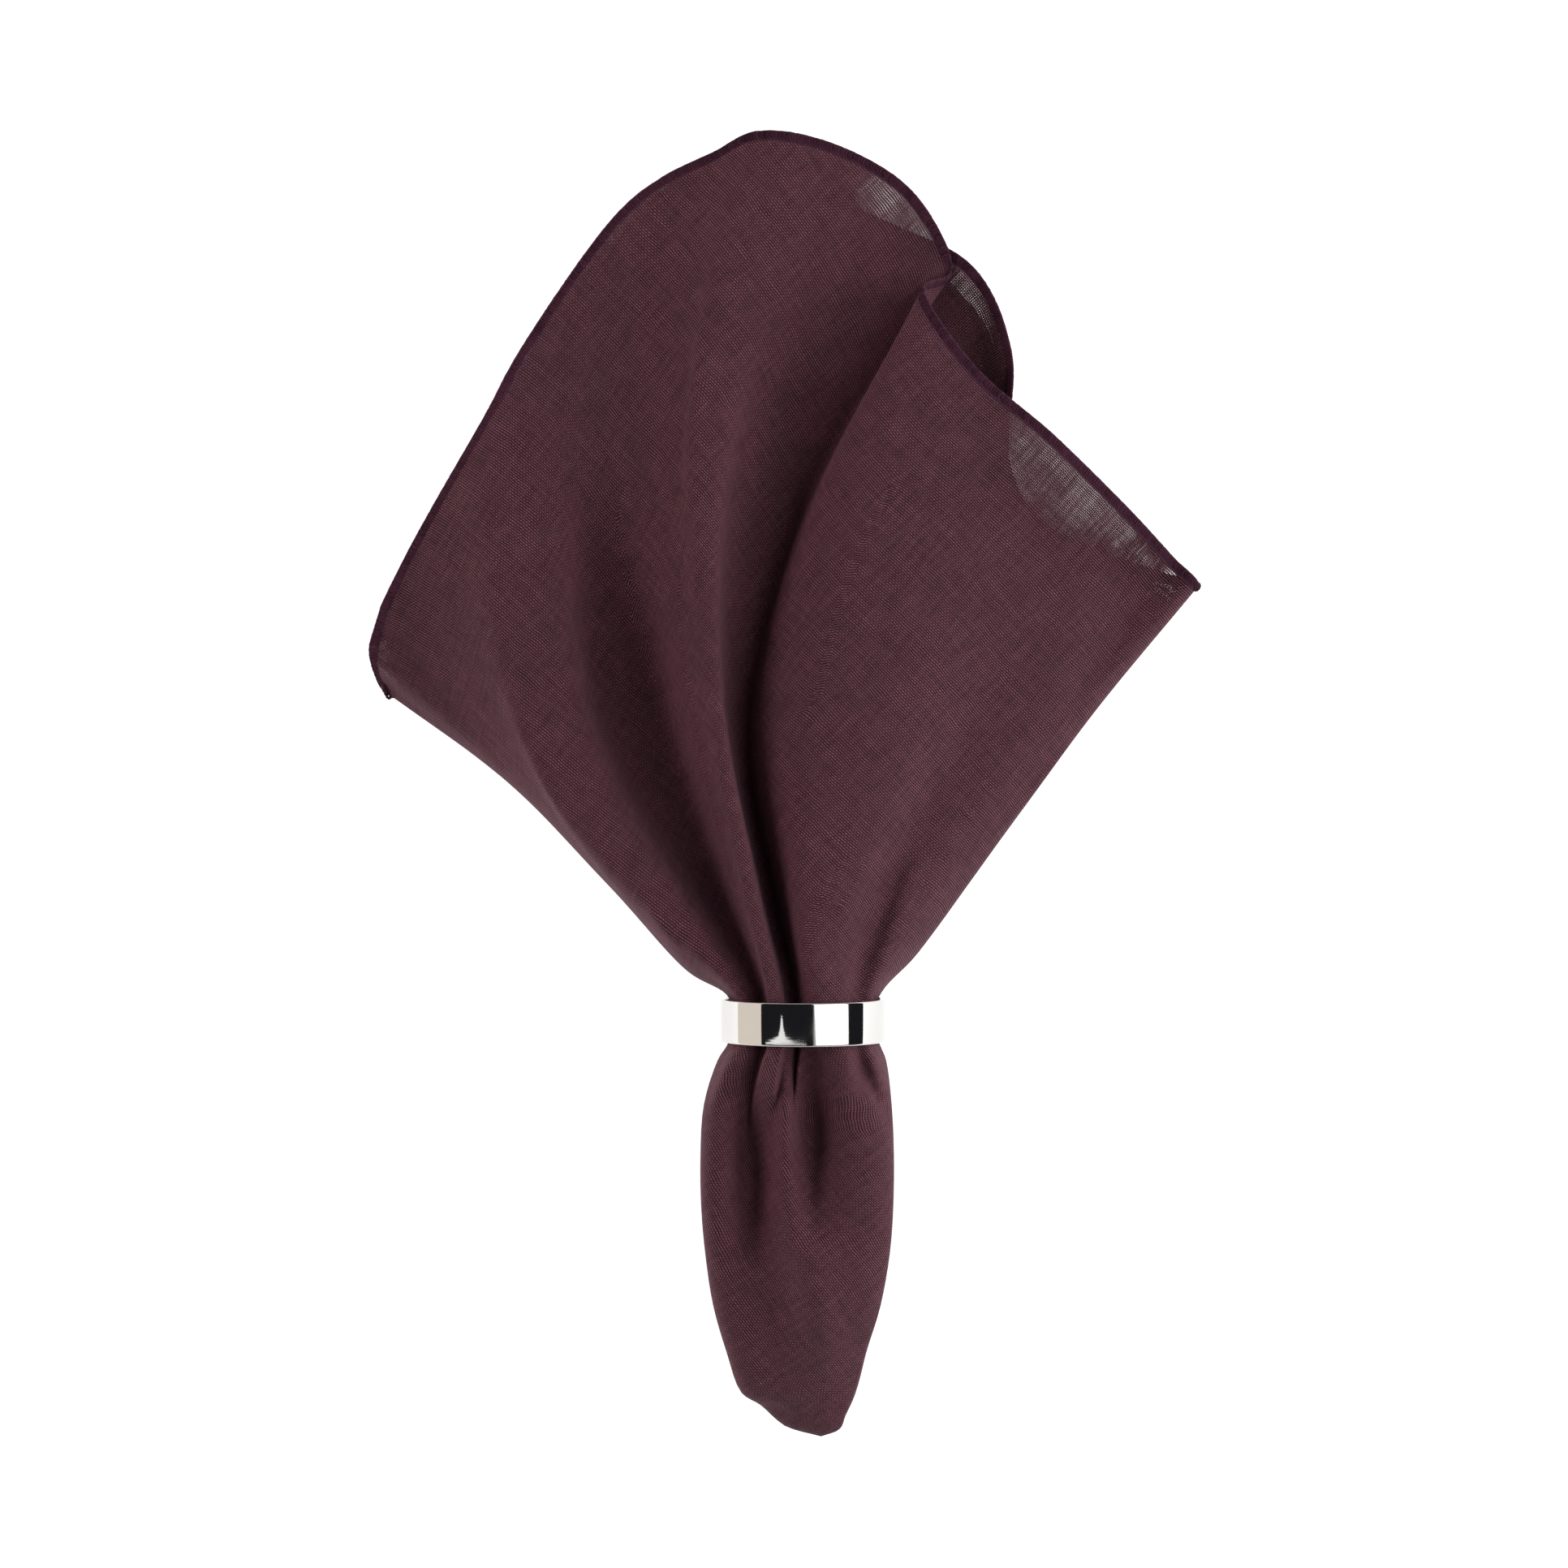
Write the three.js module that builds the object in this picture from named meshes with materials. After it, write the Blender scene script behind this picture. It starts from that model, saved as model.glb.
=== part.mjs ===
// A square linen napkin, picked up at its centre and drawn through a plain metal ring. It lies on
// its back: the four corners fan out on one side of the ring and the gathered tail on the other.
// Millimetres, +Z up. The tables are measured from the middle of the ring: x across, y along the
// ring's axis towards the fan, z above the surface that the napkin lies on.
import * as THREE from 'three';

// Driving dimensions of the ring
const RING_RADIUS = 20;
const RING_WALL = 1.2;
const RING_WIDTH = 10.4;
const RING_EDGE = 0.35;
const RING_SIDES = 96;

// The cloth's thickness, the height of its middle where it is pressed flat, its gap to the ring's
// wall, and how far past the ring's edge its folds start to open
const CLOTH = 1.0;
const PRESSED = 0.42;
const RING_GAP = 0.35;
const RING_CLEAR = 3.2;

// How often the plainest loops of the tail are smoothed, and the share of a point's neighbours in it
const EASING = 40;
const EASING_BLEND = 0.5;

// How many steps there are between two folds, and rows along each stretch of a fold
const FRONT_STEPS = 3;
const HIDDEN_STEPS = 2;
const ROWS = { ring: 1, low: 3, mid: 4, high: 4, hem: 3 };

// A fold line runs from the ring to the hem. Its columns are the place where it goes through the
// ring [x, z], its places at these shares of its way along y [x, z], and its end [x, y, z]. A sharp
// fold is a pair of lines, this far to each side [x, z], and at the hem this far [x, y].
const SHARES = { low: 0.15, mid: 0.4, high: 0.7 };
const FOLD_COLUMNS = ['name', 'ring', ...Object.keys(SHARES), 'hem', 'turn', 'spread'];
const table = (columns, rows) => (
  rows.map((row) => Object.fromEntries(row.map((cell, i) => [columns[i], cell])))
);

// The front corner of the square, from left to right
const FRONT_FOLDS = table(FOLD_COLUMNS, [
  ['left edge', [-17.7, 16.8], [-27.7, 14], [-45.6, 9], [-68.6, 6], [-102, 79.5, 3.6]],
  ['left flap', [-16.9, 24.6], [-28.2, 24], [-49.8, 20], [-75, 15], [-105.6, 91, 8]],
  ['left crest', [-13.9, 30.4], [-28, 31], [-53, 27], [-68, 26], [-71.2, 155, 24],
    [1.2, 0.4], [3.5, 6.5]],
  ['left valley', [-10.3, 24.5], [-21.3, 18.5], [-42.5, 13.5], [-51, 18], [-39.4, 199, 20],
    [0.9, 0], [5, 4]],
  ['middle ridge', [-6.8, 36], [-14.9, 37], [-19.7, 34], [-18.2, 29], [-2, 212.7, 22],
    [1.2, 0], [8, -1]],
  ['ridge wall', [-4.1, 28], [-12.5, 26], [-14.5, 22.5], [-1.7, 22], [24.5, 201.5, 22]],
  ['deep valley', [-2.3, 20.8], [-9.2, 15], [-8.6, 11.6], [11.3, 13.5], [35, 183, 22],
    [1.1, 0], [0.5, -3]],
  ['roll edge', [-0.4, 33.5], [-5.7, 30], [-11.7, 30], [2.8, 31], [28.4, 174.4, 33]],
  ['roll crest', [3.6, 37.5], [-0.1, 37.8], [1.8, 37], [13.3, 36], [40.5, 156.5, 31]],
  ['right panel', [9.2, 35.2], [7.6, 36], [20, 34], [38.5, 31], [60.5, 141, 26]],
  ['right crease', [12.6, 30.6], [14.3, 30], [27, 26.5], [52, 23], [80.9, 122, 19]],
  ['right lobe', [15.4, 29], [21.5, 27], [38, 22], [63, 16.5], [90, 113, 13]],
  ['right edge', [17.9, 18.8], [27.4, 17], [47.4, 11.5], [71, 9], [97, 106.3, 8.5], [0, -1.2]],
]);

// The other three corners lie under it, one on another. Their folds follow the front's hollows:
// x, the height of the fold over its layer's base, and the hem as [x, y, height].
const UNDER = table(FOLD_COLUMNS, [
  ['a', [14, 0], [20, 2], [36, 0], [51, 0], [60, 122, 2]],
  ['b', [10.5, 2], [14, 7], [27, 15], [41, 16], [49.5, 134, 14]],
  ['c', [6.5, 0], [7, 3], [17, 1], [32, 1], [49.6, 160, 2]],
  ['d', [2, 2], [0, 9], [6, 20.5], [24.4, 14.5], [40.5, 181.5, 1]],
  ['e', [-2.5, -1], [-9.5, -1], [-7.6, 0], [9, 0], [16, 184, 2]],
  ['f', [-5.3, 2], [-14.3, 5], [-17.6, 11.5], [-6, 9], [0, 187, 10]],
  ['g', [-7.3, 0.5], [-17.3, 2], [-25, 2], [-18, 1], [-14, 183, 1]],
  ['h', [-9.2, 1.5], [-20, 4], [-31, 9], [-31, 11], [-28, 177, 10]],
  ['i', [-10.8, 0], [-22.5, 2], [-37.5, 1], [-44, 1], [-43, 167, 1]],
  ['j', [-12.4, 1], [-25, 4], [-44.5, 8], [-58.5, 9], [-64, 146, 8]],
]);

// Each layer's depth of arc in the ring, its base at each place, how much of the height it takes,
// and its reach towards the hem. The fourth layer's valleys would lie under the surface, so they
// are flat bands on it.
const LAYERS = {
  second: { arc: 0.25, base: { low: 10, mid: 7, high: 8, hem: 8 }, lift: 1, reach: 1 },
  third: { arc: 0.56, base: { low: 5.6, mid: 3.8, high: 3.8, hem: 4 }, lift: 0.85, reach: 0.93 },
  fourth: { arc: 1, base: { low: -1, mid: -2.5, high: -2.5, hem: -2 }, lift: 0.6, reach: 0.97 },
};

// The folds that join the second and third corners, and the third and fourth
const [INNER_LEFT, INNER_RIGHT] = table(FOLD_COLUMNS, [
  ['inner left', [-13.8, 14.8], [-23.3, 10], [-38.5, 8], [-61, 8], [-86, 95.5, 8.6], [0, -1.3]],
  ['inner right', [16.2, 12.2], [21.5, 4.5], [41, 2.2], [60, 2.2], [79.3, 103, 2.2], [0, -1.3]],
]);

// The tail, from the ring to its slanted end: the outline's left and right points [x, y], the
// height of its top and bottom, and how much is left there of the front's folds and of the pleat that
// the second and third corners make.
const TAIL = table(['left', 'right', 'top', 'bottom', 'folds', 'pleat'], [
  [[-19, -10], [19.4, -10], 37, 1.6, 1, 1],
  [[-23.4, -20.7], [21.4, -20], 33, 0.7, 0.9, 0.75],
  [[-25, -33], [22.4, -32], 30, 0.5, 0.75, 0.5],
  [[-24.9, -46], [22.4, -45], 27.5, 0.5, 0.55, 0.32],
  [[-23.9, -58], [21.2, -57], 25, 0.5, 0.4, 0.2],
  [[-22.1, -70], [19.1, -70], 22, 0.5, 0.28, 0.1],
  [[-18.8, -82], [15.9, -82], 17.5, 0.5, 0.15, 0.03],
  [[-15.2, -91.6], [12.6, -92.8], 12, 0.6, 0, 0],
  [[-9.4, -96], [10.4, -98.4], 8.5, 1.2, 0, 0],
]);
const TAIL_TIP = [3.6, -103.6, 4.4];

// Where the lines come out on the plain round tail, as angles from its right side: the last of the
// front's, the last of the pleat's and the last of the fourth corner's
const ROUND = { front: 29, pleat: -48, fourth: -150 };

// The room that one line of a sharp fold takes there, against 1 for a plain line
const SHARP_ROOM = 3;

// How far from the ring's axis the cloth's middle may lie inside it
const REACH = RING_RADIUS - RING_WALL - RING_GAP - CLOTH / 2;

// A fold of a hidden layer, in the same columns as a front fold.
function hiddenFold(under, layer) {
  const { arc, base, lift, reach } = LAYERS[layer];
  const place = (key) => [under[key][0] * reach, base[key] + lift * under[key][1]];
  const [ringX, ringHeight] = under.ring;
  const depth = Math.sqrt(REACH ** 2 - ringX ** 2);
  const [hemX, hemY, hemHeight] = under.hem;
  return {
    name: `${layer} ${under.name}`,
    ring: [ringX, RING_RADIUS - arc * depth + (arc < 1 ? ringHeight : 0)],
    low: place('low'),
    mid: place('mid'),
    high: place('high'),
    hem: [hemX * reach, hemY * reach, base.hem + lift * hemHeight],
  };
}

// A sharp fold becomes its pair of lines, one step apart.
function pairUp(fold, steps) {
  if (!fold.turn) return [{ ...fold, steps }];
  const [dx, dz] = fold.turn;
  const [alongX, alongY] = fold.spread ?? [dx, 0];
  const shift = (way) => {
    const place = ([x, z]) => [x + way * dx, z + way * dz];
    const [hemX, hemY, hemZ] = fold.hem;
    return {
      ring: place(fold.ring),
      low: place(fold.low),
      mid: place(fold.mid),
      high: place(fold.high),
      hem: [hemX + way * alongX, hemY + way * alongY, hemZ + way * dz],
    };
  };
  return [{ ...fold, ...shift(-1), steps: 1 }, { ...fold, ...shift(1), steps }];
}

const backwards = [...UNDER].reverse();
const FRONT = FRONT_FOLDS.flatMap((fold) => pairUp(fold, FRONT_STEPS));
const PLEAT = [
  ...UNDER.map((under) => hiddenFold(under, 'second')),
  INNER_LEFT,
  ...backwards.map((under) => hiddenFold(under, 'third')),
  INNER_RIGHT,
].flatMap((fold) => pairUp(fold, HIDDEN_STEPS));
const BACK = UNDER.map((under) => ({ ...hiddenFold(under, 'fourth'), steps: HIDDEN_STEPS }));
const FOLDS = [...FRONT, ...PLEAT, ...BACK];

// Points along one fold, from below the ring to the hem.
function foldLine(fold) {
  const edge = RING_WIDTH / 2;
  const [ringX, ringZ] = fold.ring;
  const [hemX, hemY, hemZ] = fold.hem;
  const knots = [
    [ringX, -edge, ringZ],
    [ringX, edge, ringZ],
    ...Object.entries(SHARES).map(([key, share]) => {
      const [x, z] = fold[key];
      return [x, Math.max(share * hemY, edge + RING_CLEAR), z];
    }),
    [hemX, hemY, hemZ],
  ].map((p) => new THREE.Vector3(...p));
  const curve = new THREE.CatmullRomCurve3(knots, false, 'centripetal');
  const spans = knots.length - 1;
  const line = [curve.getPoint(0)];
  [ROWS.ring, ROWS.low, ROWS.mid, ROWS.high, ROWS.hem].forEach((steps, span) => {
    for (let i = 1; i <= steps; i += 1) line.push(curve.getPoint((span + i / steps) / spans));
  });
  return line;
}

// The pleat starts at the right edge. Each of its lines has a share of the way round it, with more
// room at the sharp folds.
const FIRST_IN_PLEAT = FRONT.length - 2;
const PLEAT_SHARES = (() => {
  const pleated = FOLDS.slice(FIRST_IN_PLEAT, FRONT.length + PLEAT.length);
  const room = pleated.map((fold) => (fold.turn ? SHARP_ROOM : 1));
  const total = room.reduce((sum, r) => sum + r, 0);
  let passed = 0;
  return room.map((r) => {
    passed += r;
    return (passed - r / 2) / total;
  });
})();

// Where a line comes out on the plain round end of the tail, on a circle of radius 1.
function onRound(fold, i) {
  const spot = (from, to, share) => {
    const angle = THREE.MathUtils.degToRad(THREE.MathUtils.lerp(from, to, share));
    return [Math.cos(angle), Math.sin(angle)];
  };
  const pleat = i - FIRST_IN_PLEAT;
  if (pleat >= PLEAT_SHARES.length) {
    const share = (pleat - PLEAT_SHARES.length + 1) / (BACK.length + 1);
    return spot(ROUND.pleat, ROUND.fourth, share);
  }
  if (pleat >= 0) return spot(ROUND.front, ROUND.pleat, PLEAT_SHARES[pleat]);
  const across = Math.min(fold.ring[0] / REACH, Math.cos(THREE.MathUtils.degToRad(ROUND.front)));
  return [across, Math.sqrt(1 - across ** 2)];
}

// The pleat's place inside the tail, as two plain layers that meet at its inner left fold.
function insidePleat(fold, i, kept) {
  const inner = INNER_LEFT.ring;
  const outer = i < FRONT.length + UNDER.length + 1 ? FRONT[FRONT.length - 1].ring : INNER_RIGHT.ring;
  const [x, z] = fold.ring;
  if (fold.turn) return [x, z];
  const plain = THREE.MathUtils.mapLinear(x, inner[0], outer[0], inner[1], outer[1]);
  return [x, THREE.MathUtils.lerp(plain, z, kept)];
}

// One loop of the tail: the ring's section, stretched to the outline and partly smoothed out.
function tailLoop(station) {
  const { left, right, top, bottom, folds, pleat } = station;
  return FOLDS.map((fold, i) => {
    const [roundX, roundZ] = onRound(fold, i);
    const pleated = i >= FIRST_IN_PLEAT && i < FRONT.length + PLEAT.length;
    const kept = pleated ? pleat : folds;
    const [x, z] = pleated ? insidePleat(fold, i, kept) : fold.ring;
    const across = THREE.MathUtils.lerp(roundX, x / REACH, kept);
    const up = THREE.MathUtils.lerp(roundZ, (z - RING_RADIUS) / REACH, kept);
    const share = (across + 1) / 2;
    return new THREE.Vector3(
      THREE.MathUtils.lerp(left[0], right[0], share),
      THREE.MathUtils.lerp(left[1], right[1], share),
      THREE.MathUtils.lerp(bottom, top, (up + 1) / 2),
    );
  });
}

// A closed loop of fold points becomes a finer loop of cloth points.
function roundLoop(points) {
  const curve = new THREE.CatmullRomCurve3(points, true, 'centripetal');
  return FOLDS.flatMap(({ steps }, i) => (
    Array.from({ length: steps }, (_, k) => curve.getPoint((i + k / steps) / FOLDS.length))
  ));
}

// The tail's loops are eased, so that no fold there is tighter than the cloth allows, and keep
// their outline.
function ease(loop, passes) {
  if (!passes) return loop;
  let eased = loop;
  for (let pass = 0; pass < passes; pass += 1) {
    const before = eased;
    eased = before.map((p, i) => {
      const next = before[(i + 1) % before.length];
      const last = before[(i + before.length - 1) % before.length];
      return next.clone().add(last).multiplyScalar(0.5).lerp(p, 1 - EASING_BLEND);
    });
  }
  const was = new THREE.Box3().setFromPoints(loop);
  const now = new THREE.Box3().setFromPoints(eased);
  const restore = (p, axis) => {
    if (now.max[axis] - now.min[axis] < CLOTH) return p[axis];
    return THREE.MathUtils.mapLinear(p[axis], now.min[axis], now.max[axis], was.min[axis], was.max[axis]);
  };
  return eased.map((p) => new THREE.Vector3(restore(p, 'x'), restore(p, 'y'), restore(p, 'z')));
}

// Inside the ring the cloth stays within its wall.
function keepInRing(p) {
  const fromAxis = new THREE.Vector2(p.x, p.z - RING_RADIUS).clampLength(0, REACH);
  return p.set(fromAxis.x, p.y, fromAxis.y + RING_RADIUS);
}

// All the loops of the cloth, from the tail's tip to the hem. Where it lies on the surface it is
// pressed a little thinner, which makes it flat there.
function clothLoops() {
  const tip = new THREE.Vector3(...TAIL_TIP);
  const tail = TAIL.map(tailLoop).reverse();
  const strands = FOLDS.map((fold, i) => {
    const line = foldLine(fold);
    const knots = [tip, ...tail.map((loop) => loop[i]), line[0], line[1]];
    const curve = new THREE.CatmullRomCurve3(knots, false, 'centripetal');
    const spans = knots.length - 1;
    const end = tail.map((_, k) => curve.getPoint((k + 1) / spans));
    return [...end, ...line];
  });
  return strands[0].map((_, row) => {
    const loop = roundLoop(strands.map((strand) => strand[row]));
    const station = TAIL[TAIL.length - 1 - row];
    const inRing = row >= TAIL.length && row <= TAIL.length + ROWS.ring;
    if (inRing) return loop.map(keepInRing);
    const smooth = station ? ease(loop, Math.round(EASING * (1 - station.pleat) ** 2)) : loop;
    return smooth.map((p) => p.setZ(Math.max(p.z, PRESSED)));
  });
}

// The sheet gets its thickness on both sides of this middle surface, and lies flat at z = 0.
function sheet(centre, pole) {
  const around = centre[0].length;
  const rows = centre.length;
  const middle = [pole, ...centre.flat()];
  const at = (row, i) => 1 + row * around + ((i + around) % around);
  const faces = [];
  for (let i = 0; i < around; i += 1) faces.push([0, at(0, i), at(0, i + 1)]);
  for (let row = 0; row < rows - 1; row += 1) {
    for (let i = 0; i < around; i += 1) {
      faces.push([at(row, i), at(row + 1, i), at(row + 1, i + 1)]);
      faces.push([at(row, i), at(row + 1, i + 1), at(row, i + 1)]);
    }
  }
  const normals = middle.map(() => new THREE.Vector3());
  for (const [a, b, c] of faces) {
    const ab = middle[b].clone().sub(middle[a]);
    const ac = middle[c].clone().sub(middle[a]);
    const n = ab.cross(ac);
    [a, b, c].forEach((k) => normals[k].add(n));
  }
  normals.forEach((n) => n.normalize());
  const count = middle.length;
  const side = (way) => middle.map((p, k) => {
    const q = p.clone().addScaledVector(normals[k], way * CLOTH / 2);
    q.z = Math.max(q.z, 0);
    return q;
  });
  const points = [...side(1), ...side(-1)];
  const index = [];
  for (const [a, b, c] of faces) {
    index.push(a, b, c, a + count, c + count, b + count);
  }
  const last = rows - 1;
  for (let i = 0; i < around; i += 1) {
    const a = at(last, i);
    const b = at(last, i + 1);
    index.push(b, a, a + count, b, a + count, b + count);
  }
  const geometry = new THREE.BufferGeometry().setFromPoints(points);
  geometry.setIndex(index);
  geometry.computeVertexNormals();
  return geometry;
}

// The ring: a flat band with eased edges, standing on a facet of its rim.
function band() {
  const inner = RING_RADIUS - RING_WALL;
  const edge = RING_WIDTH / 2;
  const profile = [
    [inner, -edge + RING_EDGE],
    [inner + RING_EDGE, -edge],
    [RING_RADIUS - RING_EDGE, -edge],
    [RING_RADIUS, -edge + RING_EDGE],
    [RING_RADIUS, edge - RING_EDGE],
    [RING_RADIUS - RING_EDGE, edge],
    [inner + RING_EDGE, edge],
    [inner, edge - RING_EDGE],
    [inner, -edge + RING_EDGE],
  ].map(([r, y]) => new THREE.Vector2(r, y));
  return new THREE.LatheGeometry(profile, RING_SIDES, Math.PI / RING_SIDES);
}

const linen = new THREE.MeshStandardMaterial({ color: 0x4f3038, roughness: 0.95, metalness: 0 });
const nickel = new THREE.MeshStandardMaterial({ color: 0xc9c6c2, roughness: 0.12, metalness: 1 });

const napkin = new THREE.Mesh(sheet(clothLoops(), new THREE.Vector3(...TAIL_TIP)), linen);
napkin.name = 'napkin';

const ring = new THREE.Mesh(band(), nickel);
ring.name = 'napkin_ring';
ring.position.z = RING_RADIUS * Math.cos(Math.PI / RING_SIDES);

const group = new THREE.Group();
group.add(napkin, ring);

// The origin is under the middle of the whole, on the surface.
const box = new THREE.Box3().setFromObject(group);
const centre = box.getCenter(new THREE.Vector3());
group.children.forEach((piece) => {
  piece.position.x -= centre.x;
  piece.position.y -= centre.y;
});

export default group;
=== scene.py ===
# %% [markdown]
# # A cloth napkin in a ring
#
# A square linen napkin is picked up at its centre and drawn through a plain polished band. It lies
# on its back: four corners fan out above the ring and the gathered tail lies below it. The solids
# are loaded first, as a fixed frame, and every piece here is made in that frame, in metres.

# %% Load the frame
import bpy
import math
import numpy as np
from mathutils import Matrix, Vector


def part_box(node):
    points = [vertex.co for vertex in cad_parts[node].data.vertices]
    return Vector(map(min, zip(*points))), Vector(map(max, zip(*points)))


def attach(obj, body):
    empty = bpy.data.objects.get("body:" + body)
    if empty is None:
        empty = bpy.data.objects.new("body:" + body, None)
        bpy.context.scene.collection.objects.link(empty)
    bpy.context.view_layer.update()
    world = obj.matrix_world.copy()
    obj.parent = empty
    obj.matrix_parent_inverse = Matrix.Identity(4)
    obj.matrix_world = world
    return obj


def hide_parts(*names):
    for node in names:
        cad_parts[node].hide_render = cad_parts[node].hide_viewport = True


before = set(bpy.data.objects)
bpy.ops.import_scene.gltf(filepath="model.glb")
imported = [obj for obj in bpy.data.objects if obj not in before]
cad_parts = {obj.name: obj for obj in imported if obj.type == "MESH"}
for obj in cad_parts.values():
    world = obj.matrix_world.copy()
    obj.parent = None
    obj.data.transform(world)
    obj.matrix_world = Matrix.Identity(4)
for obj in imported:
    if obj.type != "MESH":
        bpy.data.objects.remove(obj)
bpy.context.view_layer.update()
ring_low, ring_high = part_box("napkin_ring")
ring_middle = (ring_low + ring_high) / 2
MM = 0.001
print("the ring's middle is at", tuple(round(v, 5) for v in ring_middle))

# %% [markdown]
# ## The camera
#
# The napkin was photographed from straight above, a little under a metre away. A lens of about
# 80 mm at that height shows 388 mm of the table. The camera looks down with the fan upwards.

# %% Camera
camera_data = bpy.data.cameras.new("overhead_camera")
camera_data.sensor_width = 36.0
camera_data.lens = 80.8
overhead = bpy.data.objects.new("overhead_camera", camera_data)
overhead.location = (ring_middle.x - 4.7 * MM, ring_middle.y + 56.9 * MM, 0.870)
bpy.context.scene.collection.objects.link(overhead)
bpy.context.scene.camera = overhead
print("camera at", tuple(round(v, 4) for v in overhead.location))

# %% [markdown]
# ## Writing a material in a few lines
#
# A procedural material is a tree of nodes. Two small helpers keep the trees readable: one adds a
# node and sets its sockets, the other adds a piece of arithmetic.

# %% Node helpers
class Tree:
    """A material's node tree, with short ways to add to it."""

    def __init__(self, name):
        self.material = bpy.data.materials.new(name)
        self.material.use_nodes = True
        self.nodes = self.material.node_tree.nodes
        self.links = self.material.node_tree.links
        self.nodes.clear()

    def set(self, socket, value):
        if isinstance(value, bpy.types.NodeSocket):
            self.links.new(value, socket)
        else:
            socket.default_value = value

    def add(self, kind, settings=(), **sockets):
        node = self.nodes.new(kind)
        for key, value in dict(settings).items():
            setattr(node, key, value)
        for key, value in sockets.items():
            self.set(node.inputs[key.replace("_", " ")], value)
        return node

    def calc(self, operation, *values):
        node = self.nodes.new("ShaderNodeMath")
        node.operation = operation
        for socket, value in zip(node.inputs, values):
            self.set(socket, value)
        return node.outputs[0]

    def blend(self, share, first, second):
        node = self.nodes.new("ShaderNodeMix")
        node.data_type = "RGBA"
        self.set(node.inputs[0], share)
        self.set(node.inputs[6], first)
        self.set(node.inputs[7], second)
        return node.outputs[2]

    def vector(self, x, y, z=0.0):
        node = self.nodes.new("ShaderNodeCombineXYZ")
        for socket, value in zip(node.inputs, (x, y, z)):
            self.set(socket, value)
        return node.outputs[0]

    def noise(self, place, scale, detail=2.0, roughness=0.5, dimensions="3D"):
        node = self.nodes.new("ShaderNodeTexNoise")
        node.noise_dimensions = dimensions
        self.set(node.inputs["Vector"], place)
        self.set(node.inputs["Scale"], scale)
        self.set(node.inputs["Detail"], detail)
        self.set(node.inputs["Roughness"], roughness)
        return node

    def between(self, value, low, high, out_low=0.0, out_high=1.0, smooth=True):
        node = self.nodes.new("ShaderNodeMapRange")
        node.interpolation_type = "SMOOTHSTEP" if smooth else "LINEAR"
        node.clamp = True
        for socket, number in zip(node.inputs[:5], (value, low, high, out_low, out_high)):
            self.set(socket, number)
        return node.outputs[0]

    def finish(self, shader):
        output = self.nodes.new("ShaderNodeOutputMaterial")
        self.links.new(shader, output.inputs["Surface"])
        print("material", self.material.name, "has", len(self.nodes), "nodes")
        return self.material


# %% [markdown]
# ## The table and the light
#
# The table is plain white, without any shadow of the napkin on it. A grey plane would need very
# strong light to look so, and would then show the shadow. This one glows, so it stays white, also
# where it is seen between the threads of the cloth.

# %% Floor
def plane(name, corners, material):
    mesh = bpy.data.meshes.new(name)
    mesh.from_pydata([tuple(c) for c in corners], [], [tuple(range(len(corners)))])
    mesh.materials.append(material)
    made = bpy.data.objects.new(name, mesh)
    bpy.context.scene.collection.objects.link(made)
    return made


tree = Tree("pale_table")
table_noise = tree.noise(tree.add("ShaderNodeTexCoord").outputs["Object"], 30.0).outputs["Fac"]
pale = tree.blend(table_noise, (0.40, 0.40, 0.40, 1), (0.43, 0.43, 0.43, 1))
table_shader = tree.add("ShaderNodeBsdfPrincipled", Base_Color=pale, Roughness=0.7,
                        Emission_Color=(1, 1, 1, 1), Emission_Strength=0.93)
pale_table = tree.finish(table_shader.outputs[0])
floor = plane("floor", [(-3, -3, 0), (3, -3, 0), (3, 3, 0), (-3, 3, 0)], pale_table)


# %% [markdown]
# The bright stripe in the ring says that a large soft light stands high on the right. Two low
# lights, one on each side, graze the cloth and give its folds their shading. Area lights are used,
# because their size sets how soft the shading is. The ring doesn't show the two low ones, which
# would give it stripes that the real one hasn't.

# %% Lights
def soft_light(name, place, aim, size, watts, colour=(1, 1, 1)):
    lamp = bpy.data.lights.new(name, "AREA")
    lamp.shape = "RECTANGLE"
    lamp.size, lamp.size_y = size
    lamp.energy = watts
    lamp.color = colour
    holder = bpy.data.objects.new(name, lamp)
    holder.location = place
    holder.rotation_euler = (Vector(aim) - Vector(place)).to_track_quat("-Z", "Y").to_euler()
    holder.visible_camera = False
    bpy.context.scene.collection.objects.link(holder)
    return holder


heart = ring_middle
soft_light("high_light", (heart.x + 0.755, heart.y + 0.12, 0.95), heart, (1.09, 1.1), 4.6)
low_lights = [
    soft_light("right_light", (1.25, 0.29, 0.52), (0, 0.1, 0), (1.2, 0.8), 8.9),
    soft_light("left_light", (-1.3, 0.33, 0.6), (0, 0.1, 0), (1.2, 0.7), 10.3, (1.0, 0.97, 0.95)),
]
for lamp in low_lights:
    lamp.visible_glossy = False

world = bpy.data.worlds.new("studio")
world.use_nodes = True
world.node_tree.nodes["Background"].inputs["Color"].default_value = (0.93, 0.93, 0.94, 1)
world.node_tree.nodes["Background"].inputs["Strength"].default_value = 0.38
bpy.context.scene.world = world
bpy.context.scene.view_settings.view_transform = "Standard"

# %% [markdown]
# ## What the ring reflects
#
# A polished band shows its surroundings as stripes along its length: a dark ceiling above, the
# white light on the right and a cream wall and table low on the left. A photograph of a room could
# give it those, but plain cards do it with nothing to load. They are hidden from the camera, and
# only reflections see them. The one exception is the dark ceiling, which also keeps light off the
# cloth from above, so that its deep folds go dark. A pale gap in it makes the thin spike in the
# band's dark stripe. The gap's outline was traced back from the band by the law of reflection.

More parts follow.
